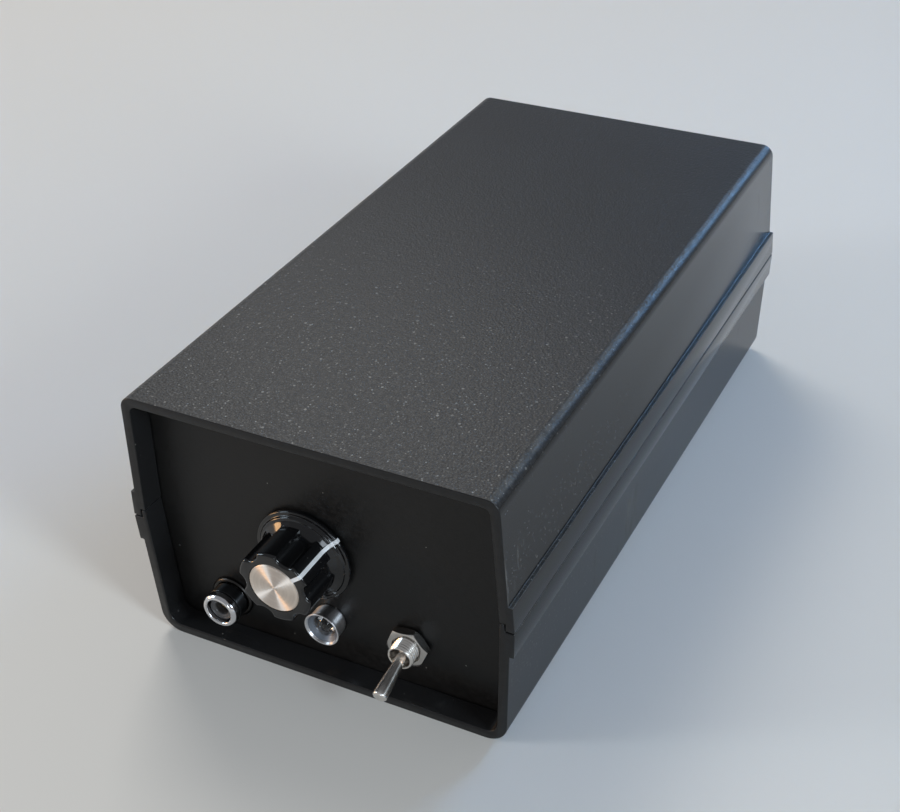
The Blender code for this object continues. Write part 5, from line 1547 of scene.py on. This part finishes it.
def component(label, body, bands, waist_share, slot):
    """One component standing on the board on its two bent leads."""
    low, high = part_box(label)
    middle = (low + high) / 2
    radius, span = (high.y - low.y) / 2, (high.x - low.x) / 2
    height, half = high.z - radius, span - 2.5 * MM
    end = span - LEAD
    shapes = [axial_body(half, radius, radius * waist_share, end, LEAD)]
    shapes += [shifted(rod(LEAD, low.z - height, 0.0, 16), side * end) for side in (-1, 1)]
    for side in (-1, 1):
        elbow = bmesh.new()
        bmesh.ops.create_uvsphere(elbow, u_segments=16, v_segments=8, radius=LEAD)
        shapes.append(shifted(elbow, side * end))
    finish = banded_finish(f"{label}_paint", body, bands, (middle.x, 0, 0), half, 0.35)
    made = shifted(gathered(*shapes), middle.x, middle.y, height)
    piece(f"{label}_body", made, finish, CASE, [label], slot)


def build_components():
    """Resistors of the matching bridge with their colour rings, and the glass diode."""
    black, brown = (0.01, 0.01, 0.01), (0.14, 0.05, 0.02)
    green, gold = (0.02, 0.2, 0.05), (0.55, 0.36, 0.08)
    rings = [(-3.3, 0.8, green), (-1.4, 0.7, brown), (0.2, 0.7, black), (3.3, 0.8, gold)]
    rings = [(place * MM, width * MM, paint) for place, width, paint in rings]
    for number in (1, 2, 3):
        tan = (0.60, 0.47, 0.30)
        component(f"bridge_resistor_{number}", tan, rings, 0.86, "resistor_tan")
    cathode = [(1.2 * MM, 0.6 * MM, black)]
    component("detector_diode", (0.50, 0.20, 0.08), cathode, 1.0, "diode_glass")


# ---------------------------------------------------------------- stage


def light(name, power, colour, place, size, spread=180.0):
    """A soft rectangular light that looks at the case."""
    lamp = bpy.data.lights.new(name, "AREA")
    lamp.shape = "RECTANGLE"
    lamp.energy = power
    lamp.color = colour
    lamp.size, lamp.size_y = size
    lamp.spread = math.radians(spread)
    holder = placed(name, lamp)
    holder.location = place
    holder.rotation_euler = (Vector(place) - LIT_POINT).to_track_quat("Z", "Y").to_euler()


def build_stage(settings):
    """Pale floor, soft lights and the camera."""
    stage, look = settings.stage, settings.finish
    scene = bpy.context.scene
    bm = bmesh.new()
    bmesh.ops.create_grid(bm, x_segments=1, y_segments=1, size=3.0)
    floor = placed("studio_floor", mesh_of("studio_floor", bm))
    floor.data.materials.append(Finish("floor_paint", look.floor, 0.8).material)

    for name, power, colour, place, *form in (
        ("key", stage.key_power, (1.0, 0.98, 0.95), (-0.56, 0.58, 1.02), (0.5, 0.5)),
        ("window", stage.window_power, (0.76, 0.89, 1.0), (0.95, -0.38, 0.46), (0.22, 0.4)),
        ("rim", stage.rim_power, (0.22, 0.52, 1.0), (0.38, 1.15, 0.5), (0.5, 0.2), 40.0),
        ("left", stage.left_power, (0.70, 0.86, 1.0), (-0.82, -0.56, 0.42), (0.2, 0.34)),
        ("warm", stage.warm_power, (1.0, 0.58, 0.28), (-0.92, -0.48, 0.1), (0.34, 0.18)),
        ("front", stage.front_power, (0.80, 0.90, 1.0), (0.34, -1.05, 0.14), (0.2, 0.26)),
    ):
        light(name + "_light", power, colour, place, *form)
    world = bpy.data.worlds.new("studio_air")
    world.use_nodes = True
    air = world.node_tree.nodes["Background"].inputs
    air["Color"].default_value = (0.93, 0.95, 1.0, 1.0)
    air["Strength"].default_value = stage.sky
    scene.world = world
    scene.view_settings.view_transform = "Standard"

    camera = bpy.data.cameras.new("studio_camera")
    camera.sensor_width = 36.0
    camera.lens = stage.lens
    camera.shift_x, camera.shift_y = stage.shift
    holder = placed("studio_camera", camera)
    holder.location = stage.eye
    holder.rotation_euler = stage.turn
    scene.camera = holder


# ---------------------------------------------------------------- add-on


class TunerSettings(bpy.types.PropertyGroup):
    """All the settings of the dress."""

    case: family(TunerCaseSettings, "Case", "Sizes of the shells")
    knob: family(TunerKnobSettings, "Knob", "Sizes of the knob")
    front: family(TunerFrontSettings, "Front", "Sizes of the front fittings")
    rear: family(TunerRearSettings, "Rear", "Sizes of the rear sockets")
    finish: family(TunerFinishSettings, "Finish", "Colours and surface values")
    stage: family(TunerStageSettings, "Stage", "Camera and lights")


class TUNER_OT_case(bpy.types.Operator):
    """Build both shells, their screws and the panels' finish"""

    bl_idname = "tuner.case"
    bl_label = "Case"

    def execute(self, context):
        build_case(context.scene.tuner)
        return {"FINISHED"}


class TUNER_OT_knob(bpy.types.Operator):
    """Build the tuning knob, its pointer, disc, grip screw and shaft"""

    bl_idname = "tuner.knob"
    bl_label = "Knob"

    def execute(self, context):
        build_knob(context.scene.tuner)
        build_bearing(context.scene.tuner)
        return {"FINISHED"}


class TUNER_OT_lamp(bpy.types.Operator):
    """Build the indicator lamp and its bezel"""

    bl_idname = "tuner.lamp"
    bl_label = "Lamp"

    def execute(self, context):
        build_lamp(context.scene.tuner)
        return {"FINISHED"}


class TUNER_OT_phono(bpy.types.Operator):
    """Build the phono socket"""

    bl_idname = "tuner.phono"
    bl_label = "Phono Socket"

    def execute(self, context):
        build_phono(context.scene.tuner)
        return {"FINISHED"}


class TUNER_OT_switch(bpy.types.Operator):
    """Build the toggle switch"""

    bl_idname = "tuner.switch"
    bl_label = "Toggle Switch"

    def execute(self, context):
        build_switch(context.scene.tuner)
        return {"FINISHED"}


class TUNER_OT_rear(bpy.types.Operator):
    """Build the coaxial socket and the counterpoise socket"""

    bl_idname = "tuner.rear"
    bl_label = "Rear Sockets"

    def execute(self, context):
        build_coax(context.scene.tuner)
        build_ground(context.scene.tuner)
        return {"FINISHED"}


class TUNER_OT_inside(bpy.types.Operator):
    """Build and finish what the case holds"""

    bl_idname = "tuner.inside"
    bl_label = "Inside"

    def execute(self, context):
        build_inside(context.scene.tuner)
        return {"FINISHED"}


class TUNER_OT_stage(bpy.types.Operator):
    """Set the floor, the lights and the camera"""

    bl_idname = "tuner.stage"
    bl_label = "Stage"

    def execute(self, context):
        build_stage(context.scene.tuner)
        return {"FINISHED"}


OPERATORS = (
    TUNER_OT_case,
    TUNER_OT_knob,
    TUNER_OT_lamp,
    TUNER_OT_phono,
    TUNER_OT_switch,
    TUNER_OT_rear,
    TUNER_OT_inside,
    TUNER_OT_stage,
)


class TUNER_PT_panel(bpy.types.Panel):
    """Lists the steps and the settings of the dress"""

    bl_idname = "TUNER_PT_panel"
    bl_label = "Antenna Tuner"
    bl_space_type = "VIEW_3D"
    bl_region_type = "UI"
    bl_category = "Tuner"

    def draw(self, context):
        for operator in OPERATORS:
            self.layout.operator(operator.bl_idname)
        for part in TunerSettings.__annotations__:
            group = getattr(context.scene.tuner, part)
            box = self.layout.box()
            for name in group.__annotations__:
                box.prop(group, name)


CLASSES = (
    TunerCaseSettings,
    TunerKnobSettings,
    TunerFrontSettings,
    TunerRearSettings,
    TunerFinishSettings,
    TunerStageSettings,
    TunerSettings,
    *OPERATORS,
    TUNER_PT_panel,
)


def register():
    """Registers the classes and puts the settings on the scene."""
    for made in CLASSES:
        bpy.utils.register_class(made)
    bpy.types.Scene.tuner = family(TunerSettings, "Tuner", "Settings of the dress")


def unregister():
    """Removes the settings and the classes."""
    del bpy.types.Scene.tuner
    for made in reversed(CLASSES):
        bpy.utils.unregister_class(made)


def main():
    """Builds every piece in order."""
    register()
    bpy.ops.tuner.stage()
    bpy.ops.tuner.case()
    bpy.ops.tuner.knob()
    bpy.ops.tuner.lamp()
    bpy.ops.tuner.phono()
    bpy.ops.tuner.switch()
    bpy.ops.tuner.rear()
    bpy.ops.tuner.inside()


if __name__ == "__main__":
    main()
